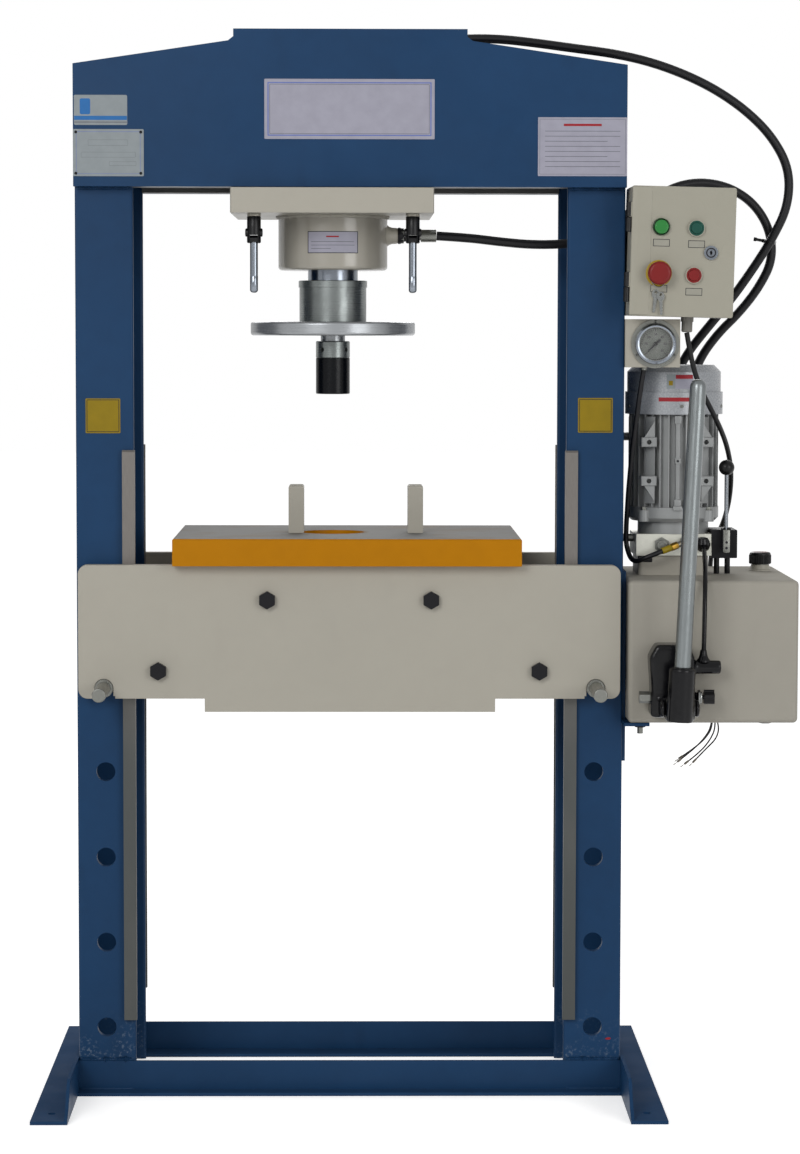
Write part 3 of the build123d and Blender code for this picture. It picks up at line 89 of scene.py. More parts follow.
class Shader:
    """One material and the few node recipes that all materials here are made of."""

    def __init__(self, name, colour, roughness=0.4, metallic=0.0):
        self.material = bpy.data.materials.new(name)
        self.material.use_nodes = True
        self.tree = self.material.node_tree
        self.surface = self.tree.nodes["Principled BSDF"]
        self.colour = colour
        self.surface.inputs["Base Color"].default_value = colour
        self.surface.inputs["Roughness"].default_value = roughness
        self.surface.inputs["Metallic"].default_value = metallic
        self.place = self.node("ShaderNodeTexCoord").outputs["Object"]
        self.material.diffuse_color = colour

    def node(self, kind, **inputs):
        made = self.tree.nodes.new(kind)
        for key, value in inputs.items():
            self.put(made.inputs[key.replace("_", " ")], value)
        return made

    def put(self, socket, value):
        if isinstance(value, bpy.types.NodeSocket):
            self.tree.links.new(value, socket)
        else:
            socket.default_value = value

    def set(self, name, value):
        self.put(self.surface.inputs[name], value)
        return self

    def noise(self, scale, detail=3.0, stretch=(1, 1, 1), rough=0.5, offset=(0, 0, 0)):
        where = self.node("ShaderNodeMapping", Vector=self.place, Scale=stretch, Location=offset)
        made = self.node("ShaderNodeTexNoise", Vector=where.outputs[0], Scale=scale, Detail=detail,
                         Roughness=rough)
        return made.outputs[0]

    def turned(self, centre, scale, axis="Z"):
        """Fine rings about an axis through a point, as a lathe leaves them."""
        shifted = self.node("ShaderNodeVectorMath")
        shifted.operation = "SUBTRACT"
        self.put(shifted.inputs[0], self.place)
        shifted.inputs[1].default_value = [v * MM for v in centre]
        parts = self.node("ShaderNodeSeparateXYZ", Vector=shifted.outputs[0])
        others = [n for n in "XYZ" if n != axis]
        flat = self.node("ShaderNodeCombineXYZ", X=parts.outputs[others[0]], Y=parts.outputs[others[1]])
        reach = self.node("ShaderNodeVectorMath", Vector=flat.outputs[0])
        reach.operation = "LENGTH"
        total = self.math("ADD", reach.outputs["Value"], parts.outputs[axis])
        made = self.node("ShaderNodeTexNoise")
        made.noise_dimensions = "1D"
        self.put(made.inputs["W"], total)
        made.inputs["Scale"].default_value = scale
        made.inputs["Detail"].default_value = 4.0
        return made.outputs[0]

    def math(self, operation, first, second=0.0):
        made = self.node("ShaderNodeMath")
        made.operation = operation
        self.put(made.inputs[0], first)
        self.put(made.inputs[1], second)
        return made.outputs[0]

    def plus(self, first, second):
        return self.math("ADD", first, second)

    def times(self, first, second):
        return self.math("MULTIPLY", first, second)

    def spread(self, value, low, high, to_low=0.0, to_high=1.0):
        made = self.node("ShaderNodeMapRange")
        for index, item in enumerate((value, low, high, to_low, to_high)):
            self.put(made.inputs[index], item)
        return made.outputs[0]

    def mix(self, factor, first, second):
        made = self.node("ShaderNodeMix")
        made.data_type = "RGBA"
        self.put(made.inputs[0], factor)
        self.put(made.inputs[6], first)
        self.put(made.inputs[7], second)
        return made.outputs[2]

    def rounded(self, radius):
        """The normal with corners softened over a few tenths of a millimetre."""
        made = self.node("ShaderNodeBevel", Radius=radius * MM)
        made.samples = 4
        return made.outputs[0]

    def bump(self, height, strength, depth, normal=None):
        made = self.node("ShaderNodeBump", Strength=strength, Distance=depth * MM, Height=height)
        if normal is not None:
            self.put(made.inputs["Normal"], normal)
        return made.outputs[0]

    def upward(self):
        """One on faces that look up, where dust lies, and nothing on the others."""
        normal = self.node("ShaderNodeNewGeometry").outputs["Normal"]
        return self.spread(self.node("ShaderNodeSeparateXYZ", Vector=normal).outputs["Z"], 0.75, 0.95)

    def height(self, low, high, to_low=0.0, to_high=1.0):
        """A value that goes from one to the other between two heights in millimetres."""
        parts = self.node("ShaderNodeSeparateXYZ", Vector=self.place)
        return self.spread(parts.outputs["Z"], low * MM, high * MM, to_low, to_high)

    def edges(self, radius):
        """One along worn corners and nothing on flat faces."""
        soft = self.rounded(radius)
        hard = self.node("ShaderNodeNewGeometry").outputs["Normal"]
        alike = self.node("ShaderNodeVectorMath")
        alike.operation = "DOT_PRODUCT"
        self.put(alike.inputs[0], soft)
        self.put(alike.inputs[1], hard)
        return self.spread(alike.outputs["Value"], 0.99, 0.86)


def painted(name, colour, roughness=0.35, mottle=0.07, peel=0.25, peel_scale=260.0, edge=0.8,
            wear=0.0, bare=None, soil=0.0, shine=0.5, spatter_highlights=None):
    """Sprayed enamel: uneven colour, orange peel, soft corners; where asked chips, grime and spattered weld
    dots painted pale as highlights.
    """
    made = Shader(name, colour, roughness)
    cloud = made.noise(3.2, 5.0)
    fine = made.noise(38.0, 4.0, offset=(3, 1, 2))
    both = made.plus(made.times(cloud, 0.7), made.times(fine, 0.3))
    factor = made.spread(both, 0.3, 0.7)
    base = made.mix(factor, scaled(colour, 1 - mottle), scaled(colour, 1 + mottle))
    if soil:
        dust = made.spread(made.noise(14.0, 6.0, stretch=(1, 1, 0.35), offset=(5, 2, 7)), 0.6, 0.8, 0.0,
                           soil)
        base = made.mix(dust, base, scaled(colour, 0.55))
    if wear:
        rim = made.times(made.edges(1.6), made.spread(made.noise(85.0, 5.0), 0.5, 0.62))
        base = made.mix(made.times(rim, wear), base, bare or scaled(colour, 0.35))
    # Weld dots spattered near the foot, painted pale as their highlights.
    if spatter_highlights:
        highlight_drops = made.spread(made.noise(170.0, 5.0, rough=0.7), 0.53, 0.66)
        cluster = made.spread(made.noise(17.0, 3.0, offset=(7, 7, 2)), 0.42, 0.62)
        nearness = made.height(*spatter_highlights, 0.85, 0.0)
        highlight_drops = made.times(made.times(highlight_drops, cluster), nearness)
        base = made.mix(highlight_drops, base, rgb(112, 126, 142))
    made.set("Base Color", base)
    gloss = made.spread(made.noise(9.0, 4.0, offset=(1, 8, 3)), 0.3, 0.7, roughness * 0.82, roughness * 1.2)
    dust = made.times(made.upward(), 0.45)
    made.set("Roughness", made.plus(gloss, dust))
    skin = made.noise(peel_scale, 2.0)
    made.set("Normal", made.bump(skin, peel, 0.25, made.rounded(edge)))
    made.set("Specular IOR Level", shine)
    return made.material


def machined(name, colour, roughness=0.3, rings=None, axis="Z", brush=None, depth=0.3, tint=0.12,
             blotch=0.25, edge=0.5, metal=1.0):
    """Bare metal with turning rings about an axis, or brushed in one direction, and dull handled patches."""
    made = Shader(name, colour, roughness, metal)
    if rings:
        marks = made.turned(rings, 1500.0, axis)
    elif brush:
        marks = made.noise(60.0, 3.0, stretch=brush)
    else:
        marks = made.noise(420.0, 3.0)
    patches = made.spread(made.noise(22.0, 5.0, offset=(4, 4, 1)), 0.35, 0.7)
    base = made.mix(made.spread(marks, 0.3, 0.7), scaled(colour, 1 - tint), scaled(colour, 1 + tint))
    base = made.mix(made.times(patches, blotch), base, scaled(colour, 0.6))
    made.set("Base Color", base)
    rough = made.plus(made.spread(marks, 0.3, 0.7, roughness * 0.75, roughness * 1.15),
                      made.times(patches, 0.12))
    made.set("Roughness", rough)
    made.set("Normal", made.bump(marks, depth, 0.05, made.rounded(edge)))
    made.set("Specular IOR Level", 0.15 if metal < 0.5 else 0.5)
    return made.material


def cast(name, colour, roughness=0.3, grain=0.5, grain_scale=190.0, metallic=0.0, edge=1.2, mottle=0.12,
         shine=0.25):
    """Painted or bare casting: sand grain, soft corners and uneven colour in broad patches."""
    made = Shader(name, colour, roughness, metallic)
    sand = made.noise(grain_scale, 4.0, rough=0.6)
    lumps = made.noise(26.0, 3.0, offset=(2, 6, 4))
    base = made.mix(made.spread(lumps, 0.3, 0.7), scaled(colour, 1 - mottle), scaled(colour, 1 + mottle))
    made.set("Base Color", base)
    made.set("Roughness", made.spread(sand, 0.3, 0.7, roughness * 0.8, roughness * 1.25))
    height = made.plus(sand, made.times(lumps, 3.0))
    made.set("Normal", made.bump(height, grain, 0.35, made.rounded(edge)))
    made.set("Specular IOR Level", shine)
    return made.material


def moulded(name, colour, roughness=0.35, grain=0.15, clear=0.0, glow=0.0, edge=0.4):
    """Moulded plastic with a faint texture; clear lets light through and glow lights it from inside."""
    made = Shader(name, colour, roughness)
    texture = made.noise(900.0, 2.0)
    shade = made.spread(made.noise(30.0, 3.0), 0.3, 0.7)
    made.set("Base Color", made.mix(shade, scaled(colour, 0.93), scaled(colour, 1.07)))
    made.set("Roughness", made.spread(texture, 0.3, 0.7, roughness * 0.85, roughness * 1.15))
    made.set("Normal", made.bump(texture, grain, 0.05, made.rounded(edge)))
    made.set("Specular IOR Level", 0.25)
    if clear:
        made.set("Transmission Weight", clear)
    if glow:
        made.set("Emission Color", colour)
        made.set("Emission Strength", glow)
    return made.material


def printed(name, colour, roughness=0.45):
    """Printed vinyl or anodised label stock, faintly uneven and dusty."""
    made = Shader(name, colour, roughness)
    haze = made.spread(made.noise(55.0, 5.0), 0.35, 0.75)
    made.set("Base Color", made.mix(haze, scaled(colour, 1.03), scaled(colour, 0.93)))
    made.set("Normal", made.bump(made.noise(1200.0, 2.0), 0.08, 0.03))
    made.set("Specular IOR Level", 0.2)
    return made.material


blue = painted("blue_enamel", rgb(22, 55, 89), 0.4, mottle=0.12, peel=0.3, wear=0.6,
               bare=rgb(18, 28, 42), soil=0.35, shine=0.14)
blue_post = painted("blue_post", rgb(22, 55, 89), 0.4, mottle=0.12, peel=0.3, wear=0.6,
                    bare=rgb(18, 28, 42), soil=0.35, shine=0.14, spatter_highlights=(52, 150))
cream = painted("cream_enamel", rgb(162, 158, 147), 0.38, mottle=0.03, peel=0.22, soil=0.1, wear=0.3,
                bare=rgb(112, 104, 90), shine=0.3)
# The tank's cream is the bed's enamel painted darker: painted shade for the shadow behind the right post.
cream_tank_painted_shade = painted("cream_tank_painted_shade", rgb(152, 148, 138), 0.4, mottle=0.04, peel=0.3, soil=0.14, wear=0.3,
                     bare=rgb(108, 101, 88), shine=0.3)
cream_box = painted("cream_powder", rgb(154, 151, 138), 0.48, mottle=0.025, peel=0.45, peel_scale=520.0,
                    wear=0.2, bare=rgb(112, 106, 94), shine=0.25)
rail_steel = machined("rail_steel", rgb(84, 84, 82), 0.5, brush=(0.8, 40, 40), depth=0.3, tint=0.15,
                      metal=0.3)
zinc = machined("zinc_plate", rgb(122, 123, 118), 0.3, depth=0.2, tint=0.08, blotch=0.35, metal=0.85)
nickel = machined("nickel", rgb(134, 136, 134), 0.2, depth=0.15, tint=0.05, blotch=0.2)
chrome = machined("hard_chrome", rgb(128, 134, 142), 0.16, rings=(-31, 0, 1400), depth=0.08, tint=0.04,
                  blotch=0.15)
turned_nut = machined("turned_steel", rgb(122, 127, 126), 0.26, rings=(-31, 0, 1380), depth=0.12, tint=0.06,
                      blotch=0.6, metal=0.75)
turned_wheel = machined("wheel_steel", rgb(152, 155, 158), 0.26, rings=(-31, 0, 1335), depth=0.15,
                        blotch=0.35, metal=0.55)
bar_steel = machined("handle_steel", rgb(124, 129, 130), 0.26, brush=(26, 26, 0.5), depth=0.3, blotch=0.35,
                     metal=0.85)
rod_steel = machined("rod_steel", rgb(122, 126, 131), 0.22, brush=(30, 30, 0.6), depth=0.2, blotch=0.2,
                     metal=0.9)
black_oxide = machined("black_oxide", rgb(24, 24, 27), 0.42, depth=0.3, tint=0.2, blotch=0.2, metal=0.1)
black_tip = cast("black_tip", rgb(7, 9, 13), 0.24, grain=0.15, grain_scale=300.0, edge=0.6, shine=0.14)
black_casting = cast("black_casting", rgb(9, 9, 12), 0.18, grain=0.35, grain_scale=90.0, shine=0.22)
black_plastic = moulded("black_plastic", rgb(6, 6, 8), 0.34)
rubber = moulded("hose_rubber", rgb(12, 12, 16), 0.42, grain=0.5)
cable_sheath = moulded("cable_sheath", rgb(13, 13, 15), 0.45, grain=0.2)
core_sheath = moulded("core_sheath", rgb(20, 18, 20), 0.45)
motor_paint = cast("motor_silver", rgb(136, 138, 138), 0.34, grain=0.2, grain_scale=230.0, metallic=0.1,
                   mottle=0.06, shine=0.4)
cover_paint = cast("cover_silver", rgb(150, 153, 157), 0.26, grain=0.05, grain_scale=300.0, metallic=0.1,
                   mottle=0.03, shine=0.5)
milled = machined("milled_aluminium", rgb(196, 196, 186), 0.42, brush=(2, 60, 60), depth=0.25, blotch=0.15,
                  metal=0.6)
brass = machined("brass", rgb(168, 132, 58), 0.3, depth=0.25, blotch=0.35)
copper = machined("tinned_copper", rgb(126, 120, 110), 0.35, depth=0.2)
red_plastic = moulded("red_plastic", rgb(116, 20, 20), 0.36)
green_plastic = moulded("green_plastic", rgb(10, 68, 57), 0.36)
green_lens = moulded("green_lens", rgb(44, 128, 58), 0.2, clear=0.25, glow=0.12)
yellow_plastic = moulded("yellow_plastic", rgb(160, 132, 16), 0.4)
yellow_sleeve = moulded("yellow_sleeve", rgb(138, 118, 16), 0.4)
white_stock = printed("label_white", rgb(152, 151, 164))
pale_stock = printed("label_pale", rgb(134, 141, 144))
blue_ink = printed("label_blue", rgb(38, 100, 160))
line_ink = printed("label_border_blue", rgb(96, 112, 172))
grey_ink = printed("label_grey", rgb(96, 98, 106))
# This dark serves as print and as painted shade in slots, holes, grooves and at the dial's rim.
dark_ink_and_shade = printed("label_dark_and_shade", rgb(28, 28, 34))
red_ink = printed("label_red", rgb(146, 34, 42))
yellow_ink = printed("label_yellow", rgb(134, 112, 8))
dial_stock = printed("dial_face", rgb(106, 110, 104))
paper = printed("label_paper", rgb(150, 148, 137))
grey_plastic = moulded("gland_grey", rgb(122, 120, 114), 0.4)


def bolster_top_shader():
    """Ground steel with patches of rust and a scorched ring round the hole."""
    steel = rgb(122, 121, 118)
    rust = rgb(112, 88, 52)
    made = Shader("bolster_top", steel, 0.7)
    grind = made.noise(30.0, 4.0, stretch=(1.2, 45, 45))
    ground = made.mix(made.spread(grind, 0.3, 0.7), scaled(steel, 0.85), scaled(steel, 1.12))
    stain = made.spread(made.noise(9.0, 5.0, offset=(2, 3, 1)), 0.5, 0.75, 0.0, 0.55)
    ground = made.mix(stain, ground, rust)
    shifted = made.node("ShaderNodeVectorMath")
    shifted.operation = "SUBTRACT"
    made.put(shifted.inputs[0], made.place)
    shifted.inputs[1].default_value = (ram[0] * MM, 0, 0)
    flat = made.node("ShaderNodeSeparateXYZ", Vector=shifted.outputs[0])
    joined = made.node("ShaderNodeCombineXYZ", X=flat.outputs["X"], Y=flat.outputs["Y"])
    reach = made.node("ShaderNodeVectorMath", Vector=joined.outputs[0])
    reach.operation = "LENGTH"
    wavy = made.plus(reach.outputs["Value"], made.times(made.noise(60.0, 4.0), 0.012))
    ring = made.spread(wavy, 0.074, 0.06)
    made.set("Base Color", made.mix(ring, ground, rgb(104, 78, 34)))
    made.set("Roughness", made.spread(grind, 0.3, 0.7, 0.6, 0.8))
    made.set("Specular IOR Level", 0.08)
    made.set("Normal", made.bump(grind, 0.2, 0.1, made.rounded(1.0)))
    return made.material


def glass_shader():
    made = Shader("gauge_glass", (1, 1, 1, 1), 0.03)
    made.set("Transmission Weight", 1.0)
    made.set("IOR", 1.45)
    haze = made.spread(made.noise(40.0, 3.0), 0.4, 0.8, 0.02, 0.06)
    made.set("Roughness", haze)
    return made.material


cream_gloss = painted("cream_gloss", rgb(156, 152, 142), 0.2, mottle=0.03, peel=0.3, soil=0.1, wear=0.3,
                      bare=rgb(112, 104, 90), shine=0.5)
bolster_side = painted("bolster_orange", rgb(172, 112, 3), 0.36, mottle=0.07, peel=0.3, soil=0.25, wear=0.5,
                       bare=rgb(96, 62, 12), shine=0.1)
bolster_top = bolster_top_shader()
# The walls of the bolster's hole are painted dark: painted shade inside the hole.
hole_painted_shade = cast("bolster_hole_painted_shade", rgb(88, 64, 20), 0.7, grain=0.4, shine=0.1)
glass = glass_shader()


def strip_shader():
    """Flat steel bar: drawn marks along it, darkened in uneven patches below the bed as painted shade."""
    clean = rgb(108, 104, 100)
    painted_shade_colour = rgb(67, 70, 69)
    made = Shader("strip_steel", clean, 0.5, 0.4)
    marks = made.noise(60.0, 3.0, stretch=(40, 40, 0.8))
    patches = made.noise(7.0, 4.0, stretch=(1, 1, 0.4))
    base = made.mix(made.spread(marks, 0.3, 0.7), scaled(clean, 0.84), scaled(clean, 1.14))
    # Painted shade: the strips darken below the bed, where its shade falls.
    painted_shade_mask = made.times(made.height(900, 600), made.spread(patches, 0.2, 0.5, 0.75, 1.0))
    made.set("Base Color", made.mix(painted_shade_mask, base, painted_shade_colour))
    made.set("Roughness", made.spread(patches, 0.3, 0.7, 0.42, 0.6))
    made.set("Normal", made.bump(marks, 0.35, 0.05, made.rounded(0.5)))
    return made.material


def lever_shader(split):
    """Bright rod below a height and its blackened head above it."""
    rod = rgb(128, 134, 142)
    made = Shader("lock_lever", rod, 0.18, 1.0)
    marks = made.noise(60.0, 3.0, stretch=(30, 30, 0.6))
    head = made.height(split - 0.5, split + 0.5)
    bright = made.mix(made.spread(marks, 0.3, 0.7), scaled(rod, 0.88), scaled(rod, 1.1))
    made.set("Base Color", made.mix(head, bright, rgb(14, 14, 17)))
    made.set("Metallic", made.math("SUBTRACT", 1.0, head))
    made.set("Roughness", made.plus(0.18, made.times(head, 0.2)))
    made.set("Normal", made.bump(marks, 0.2, 0.05, made.rounded(0.4)))
    return made.material


strip_steel = strip_shader()
lock_lever = lever_shader(1482.0)

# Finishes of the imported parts
finishes = (
    (blue_post, "left_upright right_upright"),
    (blue, "crown_plates cross_angles feet tank_bracket"),
    (rail_steel, "crown_rails"),
    (strip_steel, "guide_strips"),
    # The oil tank takes the darker cream, which is painted shade.
    (cream_tank_painted_shade, "oil_tank"),
    (zinc, "tank_fittings manifold_fittings gauge_case left_pin right_pin port_fittings keys"),
    (motor_paint, "motor_body"),
    (cover_paint, "fan_cover"),
    (milled, "valve_manifold"),
    (black_oxide, "valve_block bed_bolts"),
    (black_casting, "hand_pump oil_pipes pump_socket"),
    (cream_box, "box_body box_door"),
    (grey_plastic, "cable_gland"),
    (cream, "side_brackets bed_plates bed_spacers press_bars carriage_plate"),
    (glass, "gauge_glass"),
    (rubber, "pressure_hose return_hose gauge_hose"),
    (cable_sheath, "mains_cable"),
    (core_sheath, "supply_cores"),
    (bolster_side, "bolster_plate"),
    (cream_gloss, "cylinder_body"),
    (chrome, "piston_rod pump_plunger cam_lock"),
    (turned_nut, "nose_collar"),
    (black_tip, "nose_tip"),
    (turned_wheel, "handwheel"),
    (black_plastic, "left_lock_hub right_lock_hub filler_cap cooling_fan release_knob"),
    (lock_lever, "left_lock_lever right_lock_lever"),
    (rod_steel, "valve_lever"),
    (bar_steel, "pump_handle"),
    (green_lens, "pilot_lamp"),
    (green_plastic, "start_button"),
    (red_plastic, "stop_button estop_button"),
    (dark_ink_and_shade, "gauge_needle"),
)
for finish, names in finishes:
    for node_name in names.split():
        nodes[node_name].data.materials.clear()
        nodes[node_name].data.materials.append(finish)


def repaint(node_name, finish, test):
    """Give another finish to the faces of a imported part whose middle, in millimetres, passes a test."""
    mesh = nodes[node_name].data
    mesh.materials.append(finish)
    slot = len(mesh.materials) - 1
    for face in mesh.polygons:
        if test(*[v / MM for v in face.center]):
            face.material_index = slot


def off_axis(x, y, centre):
    return math.hypot(x - centre[0], y - centre[1])


repaint("piston_rod", turned_nut, lambda x, y, z: z < 1419.5 and off_axis(x, y, ram) > 45)
repaint("gauge_case", dial_stock, lambda x, y, z: y < -155 and math.hypot(x - gauge[0], z - gauge[1]) < 27.9
        and y > -157.5)
repaint("valve_lever", black_plastic, lambda x, y, z: z > 1081)
repaint("bolster_plate", bolster_top, lambda x, y, z: z > 974.8)
# Painted shade on the walls of the bolster's hole.
repaint("bolster_plate", hole_painted_shade, lambda x, y, z: off_axis(x, y, ram) < 55 and z < 974)
repaint("tank_fittings", black_oxide, lambda x, y, z: 638 < z < 651 or 650 < z < 657 and x > 700)
hinge_edge = box_centre.x - 89.8
for node_name in ("box_body", "box_door"):
    repaint(node_name, black_plastic, lambda x, y, z: x < hinge_edge + (z - box_centre.z) * 0.0244
            and y < -176)


# Shapes

def basis(origin, normal, across=RIGHT):
    """Local axes at a point: z along normal, x along across."""
    z = Vector(normal).normalized()
    x = Vector(across)
    x = (x - z * x.dot(z)).normalized()
    y = z.cross(x)
    return Matrix.Translation(Vector(origin)) @ Matrix((x, y, z)).transposed().to_4x4()


def shifted(place, x, y):
    """The same local axes, moved along their own plane."""
    return place @ Matrix.Translation((x, y, 0))


def front(x, z, y):
    """Local axes on a face that looks to the front."""
    return basis((x, y, z), FRONT)


def keep(name, shape, finish, body="frame", sharp=32):
    """Turn a bmesh in millimetres into a piece that rides on a body."""
    bmesh.ops.recalc_face_normals(shape, faces=shape.faces)
    mesh = bpy.data.meshes.new(name)
    shape.to_mesh(mesh)
    shape.free()
    mesh.transform(Matrix.Scale(MM, 4))
    mesh.materials.append(finish)
    mesh.shade_smooth()
    mesh.set_sharp_from_angle(angle=math.radians(sharp))
    piece = bpy.data.objects.new(name, mesh)
    scene.collection.objects.link(piece)
    if body:
        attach(piece, body)
    return piece


def formed(name, finish, body, build, *values, sharp=32):
    """A piece that one call of a shape function makes."""
    shape = bmesh.new()
    build(shape, *values)
    return keep(name, shape, finish, body, sharp)


def rounded_outline(width, height, radius, steps=5):
    """Corner-rounded rectangle about its middle."""
    points = []
    radius = max(radius, 0.01)
    for turn, (sx, sy) in enumerate(((1, 1), (-1, 1), (-1, -1), (1, -1))):
        for step in range(steps + 1):
            angle = math.pi / 2 * (turn + step / max(1, steps))
            points.append((sx * (width / 2 - radius) + radius * math.cos(angle),
                           sy * (height / 2 - radius) + radius * math.sin(angle)))
    return points


def around(angle, radius, centre=(0.0, 0.0)):
    """The point at an angle in degrees on a circle."""
    turn = math.radians(angle)
    return centre[0] + radius * math.cos(turn), centre[1] + radius * math.sin(turn)


def circle(radius, count=40):
    return [around(360 * n / count, radius) for n in range(count)]


def prism(shape, place, outline, low, high, bevel=0.0, segments=2):
    """Add an extruded outline between two heights above a local plane."""
    lower = [shape.verts.new(place @ Vector((x, y, low))) for x, y in outline]
    upper = [shape.verts.new(place @ Vector((x, y, high))) for x, y in outline]
    faces = [shape.faces.new(lower[::-1]), shape.faces.new(upper)]
    for n in range(len(outline)):
        after = (n + 1) % len(outline)
        faces.append(shape.faces.new((lower[n], lower[after], upper[after], upper[n])))
    if bevel:
        rim = {edge for face in faces[:2] for edge in face.edges}
        if len(outline) < 9:
            rim = {edge for face in faces for edge in face.edges}
        bmesh.ops.bevel(shape, geom=list(rim), offset=bevel, segments=segments, affect="EDGES", profile=0.6)


def band(shape, place, outer, inner, low, high):
    """Add a flat ring between two outlines with as many points each."""
    rows = []
    for outline, height in ((outer, low), (outer, high), (inner, high), (inner, low)):
        rows.append([shape.verts.new(place @ Vector((x, y, height))) for x, y in outline])
    for n in range(4):
        this, after = rows[n], rows[(n + 1) % 4]
        for m in range(len(outer)):
            shape.faces.new((this[m], this[(m + 1) % len(outer)], after[(m + 1) % len(outer)], after[m]))


def lathe(shape, place, profile, count=48, first=0.0, sweep=360.0):
    """Add a turned form: profile gives (height, radius) pairs from one end to the other."""
    whole = sweep >= 360.0
    columns = []
    total = count if whole else count + 1
    for n in range(total):
        angle = math.radians(first + sweep * n / count)
        columns.append([shape.verts.new(place @ Vector((r * math.cos(angle), r * math.sin(angle), h)))
                        for h, r in profile])
    for n in range(count):
        this, after = columns[n], columns[(n + 1) % total]
        for m in range(len(profile) - 1):
            corners = [this[m], after[m], after[m + 1], this[m + 1]]
            if profile[m][1] < 1e-6:
                corners = [this[m], after[m + 1], this[m + 1]]
            if profile[m + 1][1] < 1e-6:
                corners = [this[m], after[m], this[m + 1]]
            shape.faces.new(corners)
    bmesh.ops.remove_doubles(shape, verts=shape.verts, dist=1e-4)


def tube(shape, points, radii, sides=12, cap=True):
    """Add a tube of given radii along points, turned as little as possible."""
    points = [Vector(p) for p in points]
    headings = []
    for n in range(len(points)):
        before, after = points[max(0, n - 1)], points[min(len(points) - 1, n + 1)]
        headings.append((after - before).normalized())
    side = headings[0].orthogonal().normalized()
    rings = []
    for n, point in enumerate(points):
        side = (side - headings[n] * side.dot(headings[n])).normalized()
        other = headings[n].cross(side)
        radius = radii[n] if hasattr(radii, "__len__") else radii
        rings.append([shape.verts.new(point + (side * math.cos(2 * math.pi * k / sides)
                                               + other * math.sin(2 * math.pi * k / sides)) * radius)
                      for k in range(sides)])
    for this, after in zip(rings, rings[1:]):
        for k in range(sides):
            shape.faces.new((this[k], this[(k + 1) % sides], after[(k + 1) % sides], after[k]))
    if cap:
        shape.faces.new(rings[0][::-1])
        shape.faces.new(rings[-1])


def turned_piece(name, place, profile, finish, body="frame", count=48):
    return formed(name, finish, body, lathe, place, profile, count)


def block_piece(name, low, high, finish, bevel):
    """A box between two corners with every edge rounded."""
    shape = bmesh.new()
    middle = [(a + b) / 2 for a, b in zip(low, high)]
    outline = rounded_outline(high[0] - low[0], high[1] - low[1], 0, 0)
    half = (high[2] - low[2]) / 2
    prism(shape, basis(middle, UP), outline, -half, half, bevel, 2)
    return keep(name, shape, finish)


def bead(name, points, radius, finish, body, pitch=2.2, rough=0.35):
    """A weld bead: a ripple for each drop of metal, wandering a little off its line."""
    points = [Vector(p) for p in points]
    line = []
    for start, end in zip(points, points[1:]):
        steps = max(2, int((end - start).length / (pitch / 2)))
        line += [start.lerp(end, n / steps) for n in range(steps)]
    line.append(points[-1])
    radii = []
    for n, point in enumerate(line):
        ripple = 1 + 0.13 * math.cos(math.pi * n)
        wander = noise.noise(point * 0.09) * rough + noise.noise(point * 0.31) * rough * 0.5
        ends = min(1.0, 0.35 + min(n, len(line) - 1 - n) * 0.2)
        radii.append(radius * ripple * (1 + wander) * ends)
    return formed(name, finish, body, tube, line, radii, 8, sharp=60)


def hexagon(across):
    """Corner points of a hexagon given across its flats."""
    reach = across / math.sqrt(3)
    return [(reach * math.cos(math.pi / 3 * n), reach * math.sin(math.pi / 3 * n)) for n in range(6)]


def screw(name, place, radius, finish):
    """A small pan head 2 mm high with a cross slot, drawn as two shallow dark bars of painted shade."""
    profile = [(0, radius), (1.0, radius * 0.96), (1.7, radius * 0.72), (2.0, radius * 0.35), (2.0, 0)]
    turned_piece(name, place, profile, finish, count=20)
    shape = bmesh.new()
    # Painted shade: the slot is drawn as dark bars on the head.
    for size in ((radius * 1.1, radius * 0.24), (radius * 0.24, radius * 1.1)):
        prism(shape, place, rounded_outline(*size, 0.05, 2), 1.96, 2.06)
    keep(name + "_slot_shade", shape, dark_ink_and_shade)


# Camera: placed by the photograph's own geometry
image_width = 800
image_height = 1154
focal_px = 3357.0
camera_place = Vector((0.0104, -5.948, 1.3376))
camera_yaw = 0.0131
camera_pitch = 0.0743
camera_roll = 0.0017
sensor_mm = 36.0
forward = Vector((math.sin(camera_yaw) * math.cos(camera_pitch),
                  math.cos(camera_yaw) * math.cos(camera_pitch), -math.sin(camera_pitch)))
level = Vector((math.cos(camera_yaw), -math.sin(camera_yaw), 0))
upward = level.cross(forward)
camera_x = level * math.cos(camera_roll) + upward * math.sin(camera_roll)
camera_y = upward * math.cos(camera_roll) - level * math.sin(camera_roll)
camera_data = bpy.data.cameras.new("camera")
camera_data.sensor_fit = "VERTICAL"
camera_data.sensor_height = sensor_mm
camera_data.lens = focal_px / image_height * sensor_mm
camera_data.clip_end = 100
camera = bpy.data.objects.new("camera", camera_data)
camera.matrix_world = (Matrix.Translation(camera_place)
                       @ Matrix((camera_x, camera_y, -forward)).transposed().to_4x4())
scene.collection.objects.link(camera)
scene.camera = camera


def seen_at(px, py, y):
    """The point in millimetres that a pixel of the photograph shows on the plane at a given y."""
    across = (px - image_width / 2) / focal_px
    down = (py - image_height / 2) / focal_px
    ray = forward + camera_x * across - camera_y * down
    reach = (y * MM - camera_place.y) / ray.y
    return (camera_place + ray * reach) / MM


